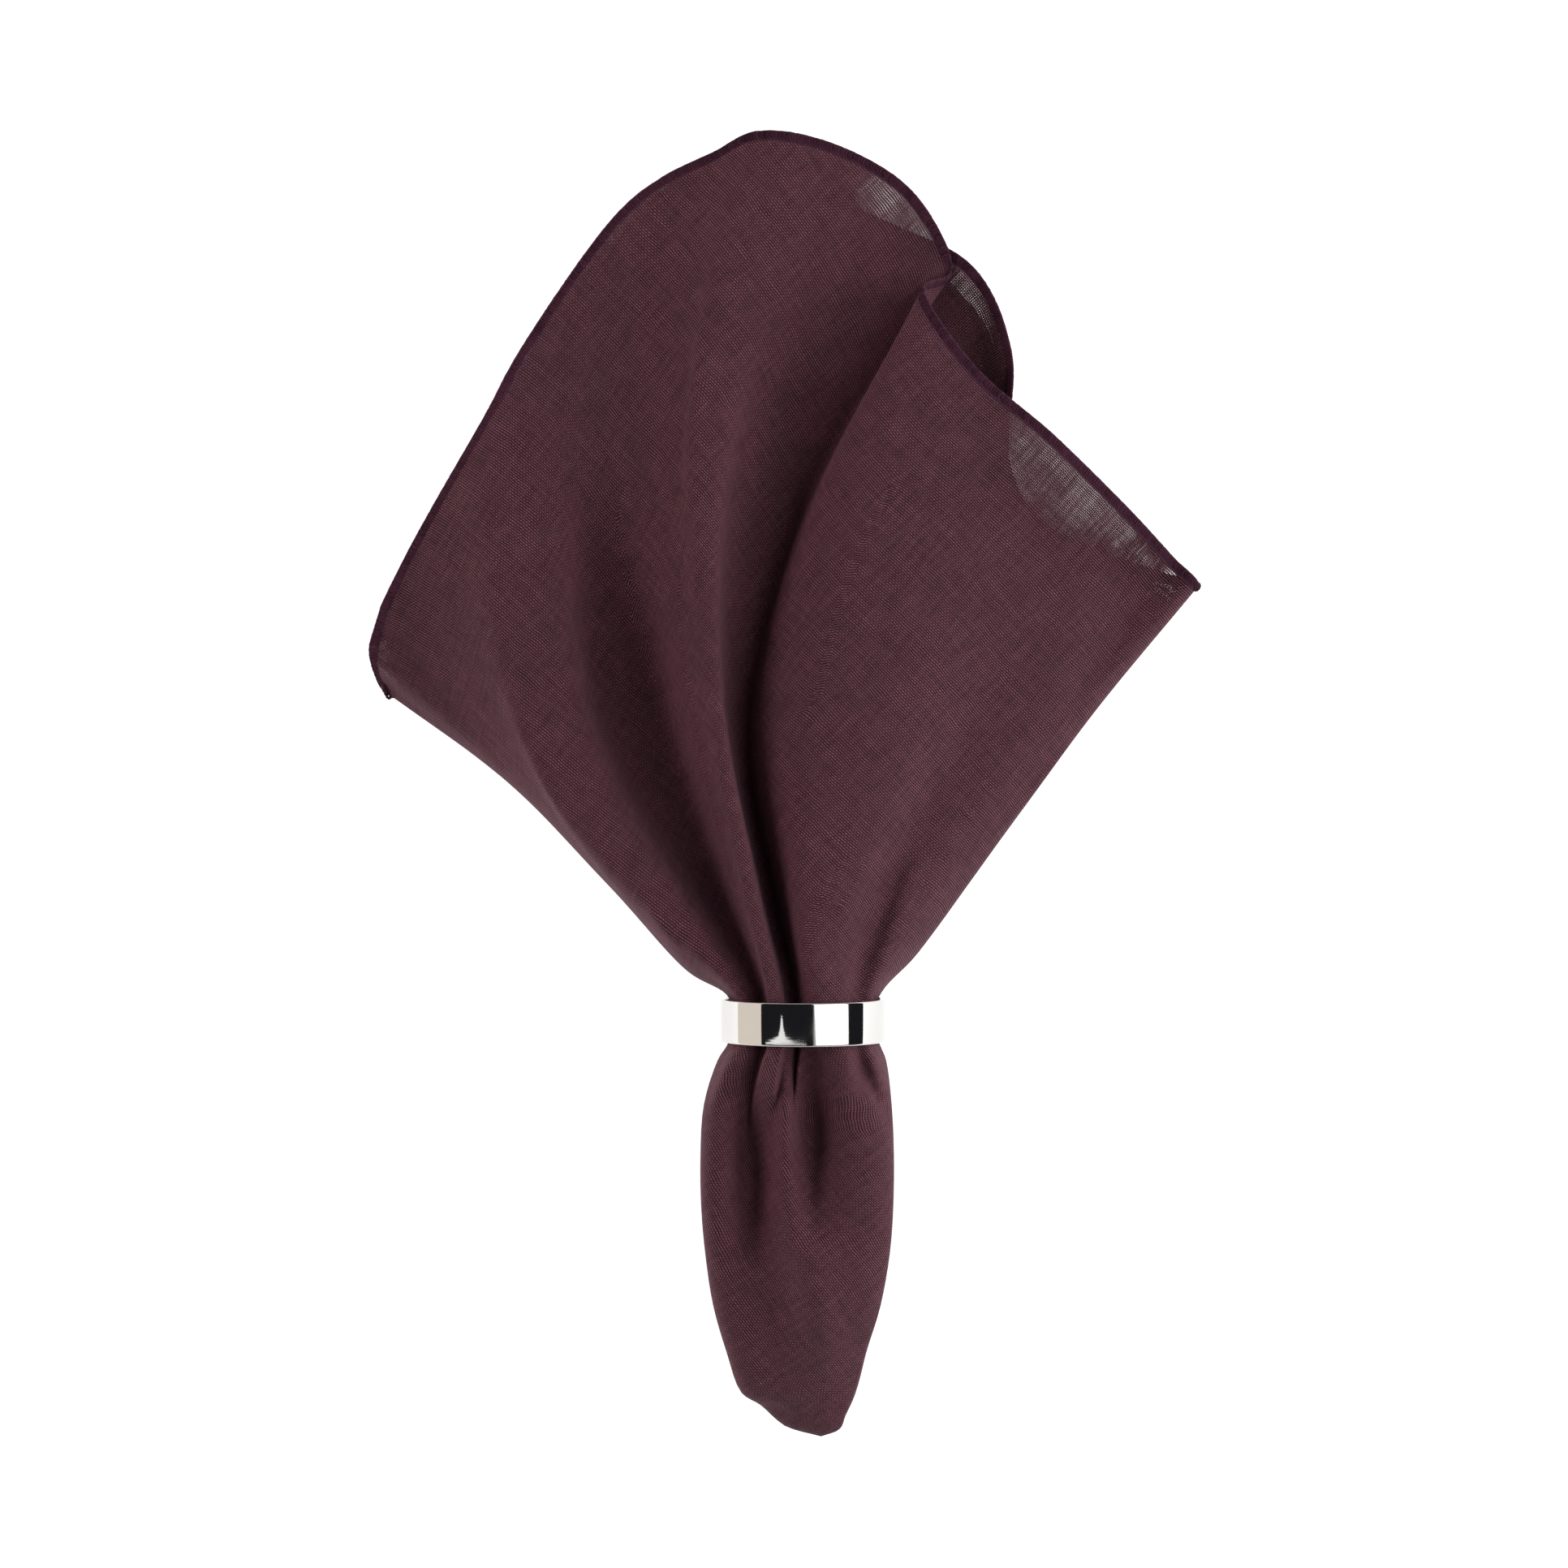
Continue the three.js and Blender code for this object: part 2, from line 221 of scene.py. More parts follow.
# %% Reflection cards
def card(name, corners, colour, strength, shades=False):
    tree = Tree(name + "_colour")
    glow = tree.add("ShaderNodeEmission", Color=(*colour, 1), Strength=strength)
    made = plane(name, corners, tree.finish(glow.outputs[0]))
    made.visible_camera = False
    made.visible_diffuse = shades
    made.visible_transmission = False
    made.visible_shadow = shades
    made.visible_volume_scatter = False
    return made


def upright(x, low, high, half=1.2):
    return [(x, -half, low), (x, half, low), (x, half, high), (x, -half, high)]


def ceiling(z, left, right, half=1.6):
    return [(left, -half, z), (right, -half, z), (right, half, z), (left, half, z)]


card("dark_ceiling", ceiling(1.5, -2.75, 0.36), (0.012, 0.012, 0.014), 1.0, shades=True)
card("cream_wall", upright(-1.5, 0.0, 0.86), (0.88, 0.80, 0.72), 0.92)
card("pale_gap", [(x, y, 1.45) for x, y in (
    (-2.0, -0.53), (-2.0, -0.50), (-1.3, -0.37), (-1.0, -0.30), (-0.9, -0.2), (-0.86, -0.08),
    (-0.8, -0.08), (-0.76, -0.2), (-0.66, -0.29), (-0.35, -0.33), (0.1, -0.35), (0.1, -0.37),
    (-0.35, -0.36), (-0.73, -0.38), (-1.3, -0.44))], (1, 1, 1), 1.0)
card("cream_table", [(-1.5, -1.2, 0.001), (-0.137, -1.2, 0.001), (-0.137, 1.2, 0.001),
                     (-1.5, 1.2, 0.001)], (0.88, 0.80, 0.72), 0.92)
card("dark_side", upright(1.9, 0.0, 0.99), (0.012, 0.012, 0.014), 1.0)

# %% [markdown]
# ## The ring
#
# The ring is a plain band with softly rounded edges. Its outline is turned about the axis, as on a
# lathe. The solid's band has flat facets, which a mirror finish would show, so this finer one
# takes its place.

# %% Turn the ring
RING_RADIUS = 20.0
RING_WALL = 1.2
RING_WIDTH = 10.4
RING_STEPS = 256


def band_outline(edge=0.45, steps=6):
    """The section of the band as [radius, y], all the way round."""
    middle = RING_RADIUS - RING_WALL / 2
    half = RING_WIDTH / 2
    outline = []
    for corner, (side, way) in enumerate([(1, 1), (-1, 1), (-1, -1), (1, -1)]):
        for k in range(steps + 1):
            turn = math.radians(90 * corner + 90 * k / steps)
            outline.append((middle + side * (RING_WALL / 2 - edge) + edge * math.cos(turn),
                            way * (half - edge) + edge * math.sin(turn)))
    return outline


def turn_band():
    outline = band_outline()
    count = len(outline)
    points = []
    for i in range(RING_STEPS):
        angle = 2 * math.pi * i / RING_STEPS
        for radius, y in outline:
            points.append((ring_middle.x + radius * math.cos(angle) * MM,
                           ring_middle.y + y * MM,
                           ring_middle.z + radius * math.sin(angle) * MM))
    faces = []
    for i in range(RING_STEPS):
        j = (i + 1) % RING_STEPS
        for k in range(count):
            m = (k + 1) % count
            faces.append((i * count + k, i * count + m, j * count + m, j * count + k))
    mesh = bpy.data.meshes.new("polished_band")
    mesh.from_pydata(points, [], faces)
    mesh.polygons.foreach_set("use_smooth", [True] * len(faces))
    return bpy.data.objects.new("polished_band", mesh)


polished_band = turn_band()
bpy.context.scene.collection.objects.link(polished_band)
print("ring:", len(polished_band.data.polygons), "faces")


# %% [markdown]
# ## The ring's finish
#
# Polished nickel plate is a mirror with a slightly warm tone. What makes it look real is what is
# wrong with it: fine marks round the band from wiping and a few duller smudges. Noise that is
# stretched round the band bends the mirror by a hair, and a second one makes it duller in places.

# %% Polished nickel
def polished_nickel():
    tree = Tree("polished_nickel")
    here = tree.add("ShaderNodeTexCoord").outputs["Object"]
    stretched = tree.add("ShaderNodeMapping", Vector=here, Scale=(120.0, 2600.0, 120.0))
    wiping = tree.noise(stretched.outputs[0], 1.0, detail=3.0).outputs["Fac"]
    smudge = tree.noise(here, 90.0, detail=3.0).outputs["Fac"]
    dull = tree.between(smudge, 0.45, 0.75, 0.045, 0.11)
    bump = tree.add("ShaderNodeBump", Strength=0.035, Distance=0.0001, Height=wiping)
    tone = tree.blend(smudge, (0.80, 0.785, 0.765, 1), (0.74, 0.725, 0.70, 1))
    shader = tree.add("ShaderNodeBsdfPrincipled", Base_Color=tone, Metallic=1.0,
                      Roughness=dull, Normal=bump.outputs[0])
    return tree.finish(shader.outputs[0])


polished_band.data.materials.append(polished_nickel())

# %% [markdown]
# ## The napkin's folds
#
# The cloth is one square, so its folds are lines that run from its centre, the tail's tip, through
# the ring to its hem. The tables name each fold where it shows: its place in the ring, its places
# on the way and its end on the hem. They are in millimetres from the middle of the ring: x across,
# y towards the fan, z above the table. A sharp fold is a pair of lines, a little to each side.

# %% Front corner, from left to right
# name, (x, z) in the ring and at the three shares of the way, (x, y, z) at the hem; for a sharp
# fold also half its width (x, z), the same along the hem, and how much wider it gets on its way
SHARES = (0.15, 0.4, 0.7)
FRONT = [
    ("left edge", (-17.7, 16.8), (-27.7, 14), (-45.6, 9), (-68.6, 6), (-102, 79.5, 3.6)),
    ("left flap", (-16.9, 24.6), (-28.2, 24), (-49.8, 20), (-75, 15), (-105.6, 91, 8)),
    ("left crest", (-13.9, 30.8), (-28.5, 31), (-57, 27), (-68.5, 26), (-71.2, 155, 24),
     (1.2, -0.22), (3.5, 6.5), (1, 2, 4, 5)),
    ("left valley", (-10.3, 28.5), (-21.8, 19.6), (-43, 11.8), (-50, 21.2), (-39.4, 199, 20),
     (0.9, 0), (5, 4), (1, 1.7, 5.5, 4)),
    ("ridge shoulder", (-8.6, 30.5), (-16, 31), (-28.5, 27.5), (-29, 27.5), (-21.5, 209, 22)),
    ("middle ridge", (-6.8, 36), (-12.8, 37), (-21.9, 34), (-21.5, 29.5), (-3.5, 212.5, 24),
     (1.2, -0.15), (8, -1), (1, 1, 1, 3.7)),
    ("ridge wall", (-4.1, 28), (-10.1, 26), (-19, 24), (-12, 20.3), (24.5, 201.5, 19.8)),
    ("deep valley", (-2.3, 27), (-7.6, 20.5), (-14.2, 17.6), (0, 16.2), (35, 183, 21.5),
     (1.1, 0), (0.5, -3)),
    ("roll edge", (-0.4, 33), (-4.6, 28.5), (-10.8, 26.5), (2.6, 27.5), (28.4, 174.4, 33)),
    ("roll crest", (3.6, 37.5), (-0.1, 37.8), (1.8, 37), (13.3, 36), (40.5, 156.5, 31)),
    ("right panel", (9.2, 35.2), (7.6, 36), (20, 34), (38.3, 31), (59.9, 140.4, 26)),
    ("right crease", (12.6, 30.6), (14.3, 30), (27, 26.5), (51.6, 23), (80.3, 121.4, 19)),
    ("right lobe", (15.4, 29), (21.5, 27), (37.6, 22), (62.5, 16.5), (89.4, 112.5, 13)),
    ("right edge", (17.9, 18.8), (27.2, 17), (46.8, 11.5), (70.3, 9), (96.4, 105.9, 8.5), (0, -1.2)),
]
print("front folds:", ", ".join(fold[0] for fold in FRONT))

# %% [markdown]
# The other three corners lie under the first, one on another. Their folds follow the front's
# hollows, so one table serves all three, and each layer has its own height and reach.

# %% Hidden corners
UNDER = [
    ("a", (14, 0), (20, 2), (36, 0), (51, 0), (60, 119.5, 2)),
    ("b", (10.5, 2), (14, 7), (27, 15), (41, 16), (49.5, 134, 14)),
    ("c", (6.5, 0), (7, 3), (17, 1), (32, 1), (49.6, 160, 20)),
    ("d", (2, 2), (0, 9), (6, 20.5), (20, 14.5), (40.5, 181.5, 14)),
    ("e", (-2.5, -1), (-8, -1), (-10.5, 0), (2, 0), (14.5, 196.5, 3)),
    ("f", (-5.3, 2), (-13, 5), (-17.6, 11.5), (-13, 9), (-3, 208, 8)),
    ("g", (-7.3, 0.5), (-17.3, 2), (-25, 2), (-20, 1), (-18.5, 205, 2)),
    ("h", (-9.2, 1.5), (-20, 4), (-31, 9), (-34, 11), (-35, 198, 8)),
    ("i", (-10.8, 0), (-22.5, 2), (-38.5, 0.5), (-48, 1), (-53, 181, 2)),
    ("j", (-12.4, 1), (-25, 4), (-47, 5), (-61, 9), (-70, 154, 7)),
]
# arc in the ring, height of its base at the three shares and the hem, lift, reach
LAYERS = {
    "second": (0.25, (10, 7, 8, 8), 1.0, 1.0),
    "third": (0.56, (5.6, 3.8, 3.8, 4), 0.85, 0.96),
    "fourth": (1.0, (-1, -2.5, -2.5, -2), 0.6, 0.97),
}
INNER_LEFT = ("inner left", (-13.8, 14.8), (-23.3, 10), (-38.5, 8), (-61, 8), (-89, 93, 7.0),
              (0, -1.3))
INNER_RIGHT = ("inner right", (16.2, 12.2), (21.5, 4.5), (41, 2.2), (60, 2.2),
               (79.3, 103, 2.2), (0, -1.3))
WALL_GAP = 0.35
REACH = RING_RADIUS - RING_WALL - WALL_GAP - 0.5


def hidden(fold, layer):
    """A fold of a hidden layer, written like a front one."""
    name, (ring_x, ring_height), *places = fold
    arc, base, lift, reach = LAYERS[layer]
    depth = math.sqrt(REACH ** 2 - ring_x ** 2)
    ring = (ring_x, RING_RADIUS - arc * depth + (ring_height if arc < 1 else 0))
    on_way = [(x * reach, b + lift * z) for (x, z), b in zip(places[:3], base)]
    hem_x, hem_y, hem_height = places[3]
    hem = (hem_x * reach, hem_y * reach, base[3] + lift * hem_height)
    return (f"{layer} {name}", ring, *on_way, hem)


def pair_up(fold, steps, sharp_steps):
    """A sharp fold becomes its pair of lines; each line says how many steps follow it."""
    name, ring, low, mid, high, hem, *turn = fold
    if not turn:
        return [(ring, low, mid, high, hem, steps, False)]
    dx, dz = turn[0]
    along = turn[1] if len(turn) > 1 else (dx, 0)
    widths = turn[2] if len(turn) > 2 else (1, 1, 1, 1)
    lines = []
    for way, count in ((-1, sharp_steps), (1, steps)):
        places = [(x + way * dx * width, z + way * dz * width)
                  for (x, z), width in zip((ring, low, mid, high), widths)]
        end = (hem[0] + way * along[0], hem[1] + way * along[1], hem[2] + way * dz)
        lines.append((*places, end, count, True))
    return lines


FRONT_STEPS, HIDDEN_STEPS, SHARP_STEPS = 10, 10, 4
front = [line for fold in FRONT for line in pair_up(fold, FRONT_STEPS, SHARP_STEPS)]
pleat = [line for fold in (
    [hidden(u, "second") for u in UNDER] + [INNER_LEFT]
    + [hidden(u, "third") for u in reversed(UNDER)] + [INNER_RIGHT]
) for line in pair_up(fold, HIDDEN_STEPS, SHARP_STEPS)]
back = [line for fold in [hidden(u, "fourth") for u in UNDER]
        for line in pair_up(fold, HIDDEN_STEPS, SHARP_STEPS)]
folds = front + pleat + back
FIRST_IN_PLEAT = len(front) - 2
LAST_IN_PLEAT = len(front) + len(pleat)
steps_after = np.array([line[5] for line in folds])
print("folds:", len(front), "in front,", len(pleat), "in the pleat,", len(back), "on the table")


# %% [markdown]
# ## From fold lines to cloth
#
# A smooth curve through each fold's places gives a strand of cloth. This curve is a centripetal
# Catmull-Rom spline, which passes through all its places and doesn't overshoot where they are
# unevenly spaced. Strands are sampled at rows, and each row is then rounded into a closed loop.

# %% A smooth curve through places
def curve(places, at, closed=False):
    """Points on the curve; at counts the places, so 1.5 is halfway from the second to the third."""
    places = np.asarray(places, float)
    count = len(places)
    start = np.floor(at).astype(int)
    if not closed:
        start = np.clip(start, 0, count - 2)
        places = np.vstack([2 * places[0] - places[1], places, 2 * places[-1] - places[-2]])
        a, b, c, d = (places[start + k] for k in range(4))
    else:
        a, b, c, d = (places[(start + k) % count] for k in (-1, 0, 1, 2))
    w = (at - start)[:, None]

    def knot(p, q):
        return np.maximum(np.linalg.norm(q - p, axis=1, keepdims=True), 1e-5) ** 0.5

    before, here, after = knot(a, b), knot(b, c), knot(c, d)
    leave = ((b - a) / before - (c - a) / (before + here) + (c - b) / here) * here
    reach = ((c - b) / here - (d - b) / (here + after) + (d - c) / after) * here
    return (b + w * leave + w ** 2 * (3 * (c - b) - 2 * leave - reach)
            + w ** 3 * (2 * (b - c) + leave + reach))


# %% [markdown]
# ## The tail
#
# Below the ring the cloth is a soft bundle that ends in a slanted tip. Each station gives its left
# and right side, the height of its top and bottom, and how much is left there of the front's folds
# and of the pleat inside.

# %% Tail stations
TAIL = [
    ((-20.7, -10), (19.7, -10), 37, 1.6, 1, 1),
    ((-24.1, -20.7), (21.4, -20), 33, 0.7, 0.9, 0.75),
    ((-25, -33), (22.4, -32), 30, 0.5, 0.75, 0.5),
    ((-24.9, -46), (22.6, -45), 27.5, 0.5, 0.55, 0.32),
    ((-23.9, -58), (21.9, -57), 25, 0.5, 0.4, 0.2),
    ((-22.1, -70), (19.7, -70), 22, 0.5, 0.28, 0.1),
    ((-18.8, -82), (15.9, -82), 17.5, 0.5, 0.15, 0.03),
    ((-15.2, -92.2), (12.6, -92.8), 12, 0.6, 0, 0),
    ((-10.6, -95.4), (10.3, -98.2), 9, 1.0, 0, 0),
    ((-4.6, -100.6), (8.9, -101.6), 6.8, 2.0, 0, 0),
]
TAIL_TIP = (4.4, -103.4, 4.4)
ROUND_FRONT, ROUND_PLEAT, ROUND_FOURTH = 29.0, -48.0, -150.0
SHARP_ROOM = 3

room = np.array([SHARP_ROOM if line[6] else 1 for line in folds[FIRST_IN_PLEAT:LAST_IN_PLEAT]])
pleat_shares = (np.cumsum(room) - room / 2) / room.sum()


def on_round(i):
    """Where a fold comes out on a plain round bundle of radius 1."""
    k = i - FIRST_IN_PLEAT
    if k >= len(pleat_shares):
        share = (k - len(pleat_shares) + 1) / (len(back) + 1)
        angle = math.radians(ROUND_PLEAT + (ROUND_FOURTH - ROUND_PLEAT) * share)
    elif k >= 0:
        angle = math.radians(ROUND_FRONT + (ROUND_PLEAT - ROUND_FRONT) * pleat_shares[k])
    else:
        across = min(folds[i][0][0] / REACH, math.cos(math.radians(ROUND_FRONT)))
        return across, math.sqrt(1 - across ** 2)
    return math.cos(angle), math.sin(angle)


def inside_pleat(i, kept):
    """The pleat inside the tail is two plain layers that meet at its inner left fold."""
    x, z = folds[i][0]
    if folds[i][6]:
        return x, z
    outer = front[-1][0] if i < len(front) + len(UNDER) + 1 else INNER_RIGHT[1]
    inner = INNER_LEFT[1]
    plain = inner[1] + (x - inner[0]) * (outer[1] - inner[1]) / (outer[0] - inner[0])
    return x, plain + (z - plain) * kept


def tail_loop(station):
    left, right, top, bottom, kept_folds, kept_pleat = station
    loop = []
    for i, line in enumerate(folds):
        round_x, round_z = on_round(i)
        in_pleat = FIRST_IN_PLEAT <= i < LAST_IN_PLEAT
        kept = kept_pleat if in_pleat else kept_folds
        x, z = inside_pleat(i, kept) if in_pleat else line[0]
        across = round_x + (x / REACH - round_x) * kept
        up = round_z + ((z - RING_RADIUS) / REACH - round_z) * kept
        share = (across + 1) / 2
        loop.append((left[0] + (right[0] - left[0]) * share,
                     left[1] + (right[1] - left[1]) * share,
                     bottom + (top - bottom) * (up + 1) / 2))
    return np.array(loop)


tail_loops = [tail_loop(station) for station in reversed(TAIL)]
print("tail:", len(tail_loops), "loops of", len(folds), "folds")

# %% [markdown]
# Each strand is now sampled at close rows: from the tip along the tail, through the ring and up
# the fan to the hem. Rows across the strands become smooth closed loops.

# %% Strands and rows
EDGE = RING_WIDTH / 2
RING_CLEAR = 3.2
TAIL_ROWS = 4
FAN_ROWS = (4, 8, 13, 15, 17)


def fan_places(line):
    (rx, rz), *on_way, hem = line[:5]
    places = [(rx, -EDGE, rz), (rx, EDGE, rz)]
    for share, (x, z) in zip(SHARES, on_way):
        places.append((x, max(share * hem[1], EDGE + RING_CLEAR), z))
    return places + [hem]


tail_at = np.arange(1, (len(TAIL) + 1) * TAIL_ROWS) / TAIL_ROWS
fan_at = np.concatenate([k + np.arange(n) / n for k, n in enumerate(FAN_ROWS)] + [[len(FAN_ROWS)]])
strands = []
for i, line in enumerate(folds):
    way = fan_places(line)
    tail_part = curve([TAIL_TIP] + [loop[i] for loop in tail_loops] + way[:2], tail_at)
    strands.append(np.vstack([tail_part, curve(way, fan_at)]))
strands = np.array(strands)
ring_row = len(tail_at)
fan_row = ring_row + FAN_ROWS[0]

around_at = np.concatenate([i + np.arange(n) / n for i, n in enumerate(steps_after)])
starts = np.concatenate([[0], np.cumsum(steps_after)])
cloth = np.array([curve(strands[:, row], around_at, closed=True)
                  for row in range(strands.shape[1])])
ROWS, AROUND = cloth.shape[:2]
print("cloth:", ROWS, "rows of", AROUND, "points")


# %% [markdown]
# The plain end of the tail is eased: every point moves towards the middle of its neighbours, which
# takes out folds that are tighter than linen allows, and the loop is then stretched back to its
# own outline. Inside the ring the cloth stays within its wall, and nowhere is it under the table.

# %% Ease the tail, keep to the ring and the table
EASING = 640
PRESSED = 0.42


def ease(cloth):
    kept = np.interp(tail_at, np.arange(len(TAIL) + 1), [0] + [s[5] for s in reversed(TAIL)])
    passes = np.round(EASING * (1 - kept) ** 2).astype(int)
    eased = cloth[:ring_row].copy()
    for k in range(passes.max()):
        busy = passes > k
        part = eased[busy]
        eased[busy] = 0.5 * part + 0.25 * (np.roll(part, 1, 1) + np.roll(part, -1, 1))
    was, now = cloth[:ring_row], eased
    low, high = was.min(1, keepdims=True), was.max(1, keepdims=True)
    now_low, now_high = now.min(1, keepdims=True), now.max(1, keepdims=True)
    span = now_high - now_low
    stretched = low + (now - now_low) * (high - low) / np.maximum(span, 1e-6)
    cloth[:ring_row] = np.where(span < 1.0, now, stretched)
    return cloth


def keep_in_ring(cloth):
    rows = slice(ring_row, fan_row + 1)
    across = cloth[rows][..., [0, 2]] - (0, RING_RADIUS)
    far = np.linalg.norm(across, axis=-1, keepdims=True)
    across *= np.minimum(1, REACH / np.maximum(far, 1e-6))
    cloth[rows, :, 0] = across[..., 0]
    cloth[rows, :, 2] = across[..., 1] + RING_RADIUS
    return cloth


cloth = keep_in_ring(ease(cloth))
cloth[..., 2] = np.maximum(cloth[..., 2], PRESSED)
print("the cloth's middle is from", PRESSED, "to", round(float(cloth[..., 2].max()), 1), "mm high")


# %% [markdown]
# ## Creases placed one by one
#
# Between the main folds linen keeps shallow troughs and ridges. Each one here is a short line from
# one place to another, with its own width and height. It moves the cloth up or down most at the
# top of the bundle and not at all on the table, so layers that lie on each other stay in order.

# %% Troughs and ridges
CREASES = [
    # from x, y, to x, y, half width, height (a trough is less than nothing)
    ((-12.4, -14), (-12.6, -54), 5.0, -11.0),
    ((-12, -40), (-8, -84), 8.0, -5.0),
    ((-12.5, -4), (-14.8, -24), 2.8, 3.5),
    ((1.6, -4), (1.2, -48), 4.8, -9.0),
    ((-3.4, -3), (-4.8, -30), 2.8, 6.0),
    ((6, -12), (7, -48), 6.0, -4.2),
    ((-4.6, -22), (-3, -52), 3.4, 2.4),
    ((-1, -50), (6, -82), 5.0, 2.6),
    ((12.5, -8), (21, -24), 1.6, -2.4),
    ((28, 40), (16, 9), 2.4, 1.2),
    ((24, 38), (12, 8), 2.8, -0.9),
    ((-38, 30), (-29, 14), 1.8, 1.6),
    ((-86, 92), (-66, 130), 9.0, -1.2),
    ((-30, 128), (-16, 196), 7.0, 1.2),
    ((-44, 150), (-34, 190), 8.0, -1.4),
    ((52, 118), (34, 66), 9.0, -1.0),
    ((70, 96), (50, 52), 8.0, 1.2),
    ((8, 192), (30, 170), 6.0, 1.0),
]


def near_line(cloth, start, end, half_width):
    """How much each point is on a soft line seen from above: 1 on it, 0 far from it."""
    start, end = np.array(start, float), np.array(end, float)
    way = end - start
    along = np.clip(((cloth[..., :2] - start) @ way) / (way @ way), 0, 1)
    away = np.linalg.norm(cloth[..., :2] - start - along[..., None] * way, axis=-1)
    return np.exp(-(away / half_width) ** 2), along


FULL_CREASE = 24.0    # cloth at this height or above moves by the whole height of a crease


def crease(cloth, start, end, half_width, height):
    near, along = near_line(cloth, start, end, half_width)
    fade = np.sin(np.pi * np.clip(0.12 + 0.76 * along, 0, 1)) ** 0.8
    high = np.clip(cloth[..., 2] / FULL_CREASE, 0, 1)
    cloth[..., 2] += height * fade * near * high ** 2 * (3 - 2 * high)


for line in CREASES:
    crease(cloth, *line)
cloth = keep_in_ring(cloth)
print("creases:", len(CREASES))

# %% [markdown]
# The corners that the front one hides are gathered more closely: between the ring and their hems
# they have about twenty small pleats, which open like a fan. The pleats lift the lowest layer
# most and fade out under the front corner, so again no layer passes another.

# %% Close pleats in the hidden corners
PLEAT_ANGLE = 0.076      # in radians, seen from the ring
PLEAT_HEIGHT = 8.2
PLEATS_BELOW = 17.0      # cloth higher than this has none
CRUMPLE_PITCH = 6.2
UNDERSIDE_PITCH = 7.5


def gather(cloth):
    x, y, z = (cloth[..., k] for k in range(3))
    away = np.hypot(x, y)
    turn = np.arctan2(x, np.maximum(np.abs(y), 1.0))
    drift = 0.35 * np.sin(away / 23.0) + 0.5 * np.sin(turn * 9.0 + 1.0)
    wave = 0.5 - 0.5 * np.cos(2 * np.pi * turn / PLEAT_ANGLE + drift)
    rise = np.clip((away - 16) / 30, 0, 1) * np.minimum(PLEAT_HEIGHT, 0.05 * away)
    low = np.clip(1 - z / PLEATS_BELOW, 0, 1)
    cloth[..., 2] += np.where(y > 0, wave * rise * low ** 2 * (3 - 2 * low), 0)


def crumple(cloth):
    """Inside the ring and the tail, the two hidden corners are crumpled between the outer ones."""
    first, last = int(starts[len(front)]), int(starts[LAST_IN_PLEAT - 1])
    part = cloth[:, first:last]
    x, y = part[..., 0], part[..., 1]
    depth = np.interp(y, (-92, -60, -12, 8, 42), (0.0, 0.9, 2.1, 2.1, 0.0))
    near_wall = np.clip((REACH + 2 - np.abs(x)) / 6, 0, 1)
    part[..., 2] += depth * near_wall * np.sin(2 * np.pi * x / CRUMPLE_PITCH + 0.06 * y)


def crease_underside(cloth):
    """The tail lies on creases as small as the pleats."""
    x, y, z = (cloth[..., k] for k in range(3))
    low = np.clip(1 - z / 13, 0, 1) ** 2
    rise = 3.0 * np.clip(-(y + 10) / 10, 0, 1) * np.clip((y + 96) / 14, 0, 1)
    wave = 0.5 - 0.5 * np.cos(2 * np.pi * (x + 0.05 * y) / UNDERSIDE_PITCH)
    cloth[..., 2] += rise * low * wave


gather(cloth)
crease_underside(cloth)
crumple(cloth)
cloth[..., 2] = np.maximum(cloth[..., 2], PRESSED)


def area(points):
    """One side's area of a grid of points that closes round, in square millimetres."""
    along = points[1:] - points[:-1]
    across = np.roll(points, -1, 1) - points
    first = np.linalg.norm(np.cross(across[:-1], along), axis=-1)
    second = np.linalg.norm(np.cross(across[1:], np.roll(along, -1, 1)), axis=-1)
    return float((first + second).sum() / 2)


print("one side of the cloth:", round(area(cloth)), "square mm,",
      round(area(cloth) / 450 ** 2, 3), "of the square")

# %% [markdown]
# ## Laying the cloth flat again
#
# The weave has to run with the square's sides, as it does on the real napkin, so the texture map is
# the flat cloth itself. Each of the four corners and the tail is laid flat: the hem is pinned along
# two straight sides that meet in the rounded corner, and the rest is pulled, pass by pass, until
# its distances are those of the draped cloth. The seams between the pieces are at the side folds
# and under the ring, where nobody sees them.

# %% Where the corners meet
first_inner_left = len(front) + len(UNDER)
first_inner_right = first_inner_left + 2 + len(UNDER)
side_folds = [0] + [int(starts[k + 1]) - SHARP_STEPS // 2
                    for k in (len(front) - 2, first_inner_left, first_inner_right)] + [AROUND]
seam_row = ring_row + 2
CORNER_RADIUS = 48.0
print("side folds at columns", side_folds)


def closed_round(grid):
    return np.concatenate([grid, grid[:, :1]], axis=1)


def lengths(points, axis):
    return np.linalg.norm(np.diff(points, axis=axis), axis=-1)


def hem_layout(to_corner, along, radius):
    """Flat places along the hem: one side, the rounded corner, the other side."""
    quarter = math.pi * radius / 2
    s = along - (to_corner - quarter / 2)
    turn = np.clip(s / radius, 0, math.pi / 2)
    x = np.where(s < 0, s - radius, radius * np.sin(turn) - radius)
    y = radius * np.cos(turn) - radius
    y = np.where(s > quarter, -radius - (s - quarter), y)
    return np.stack([x, y], -1)


# %% [markdown]
# Draped cloth can't be unrolled exactly, so each corner is treated as a net of springs that have
# the draped lengths. It starts from a simple guess, straight lines from the hem to the ring, and
# settles close to the true lengths. The strain that is printed says how close.

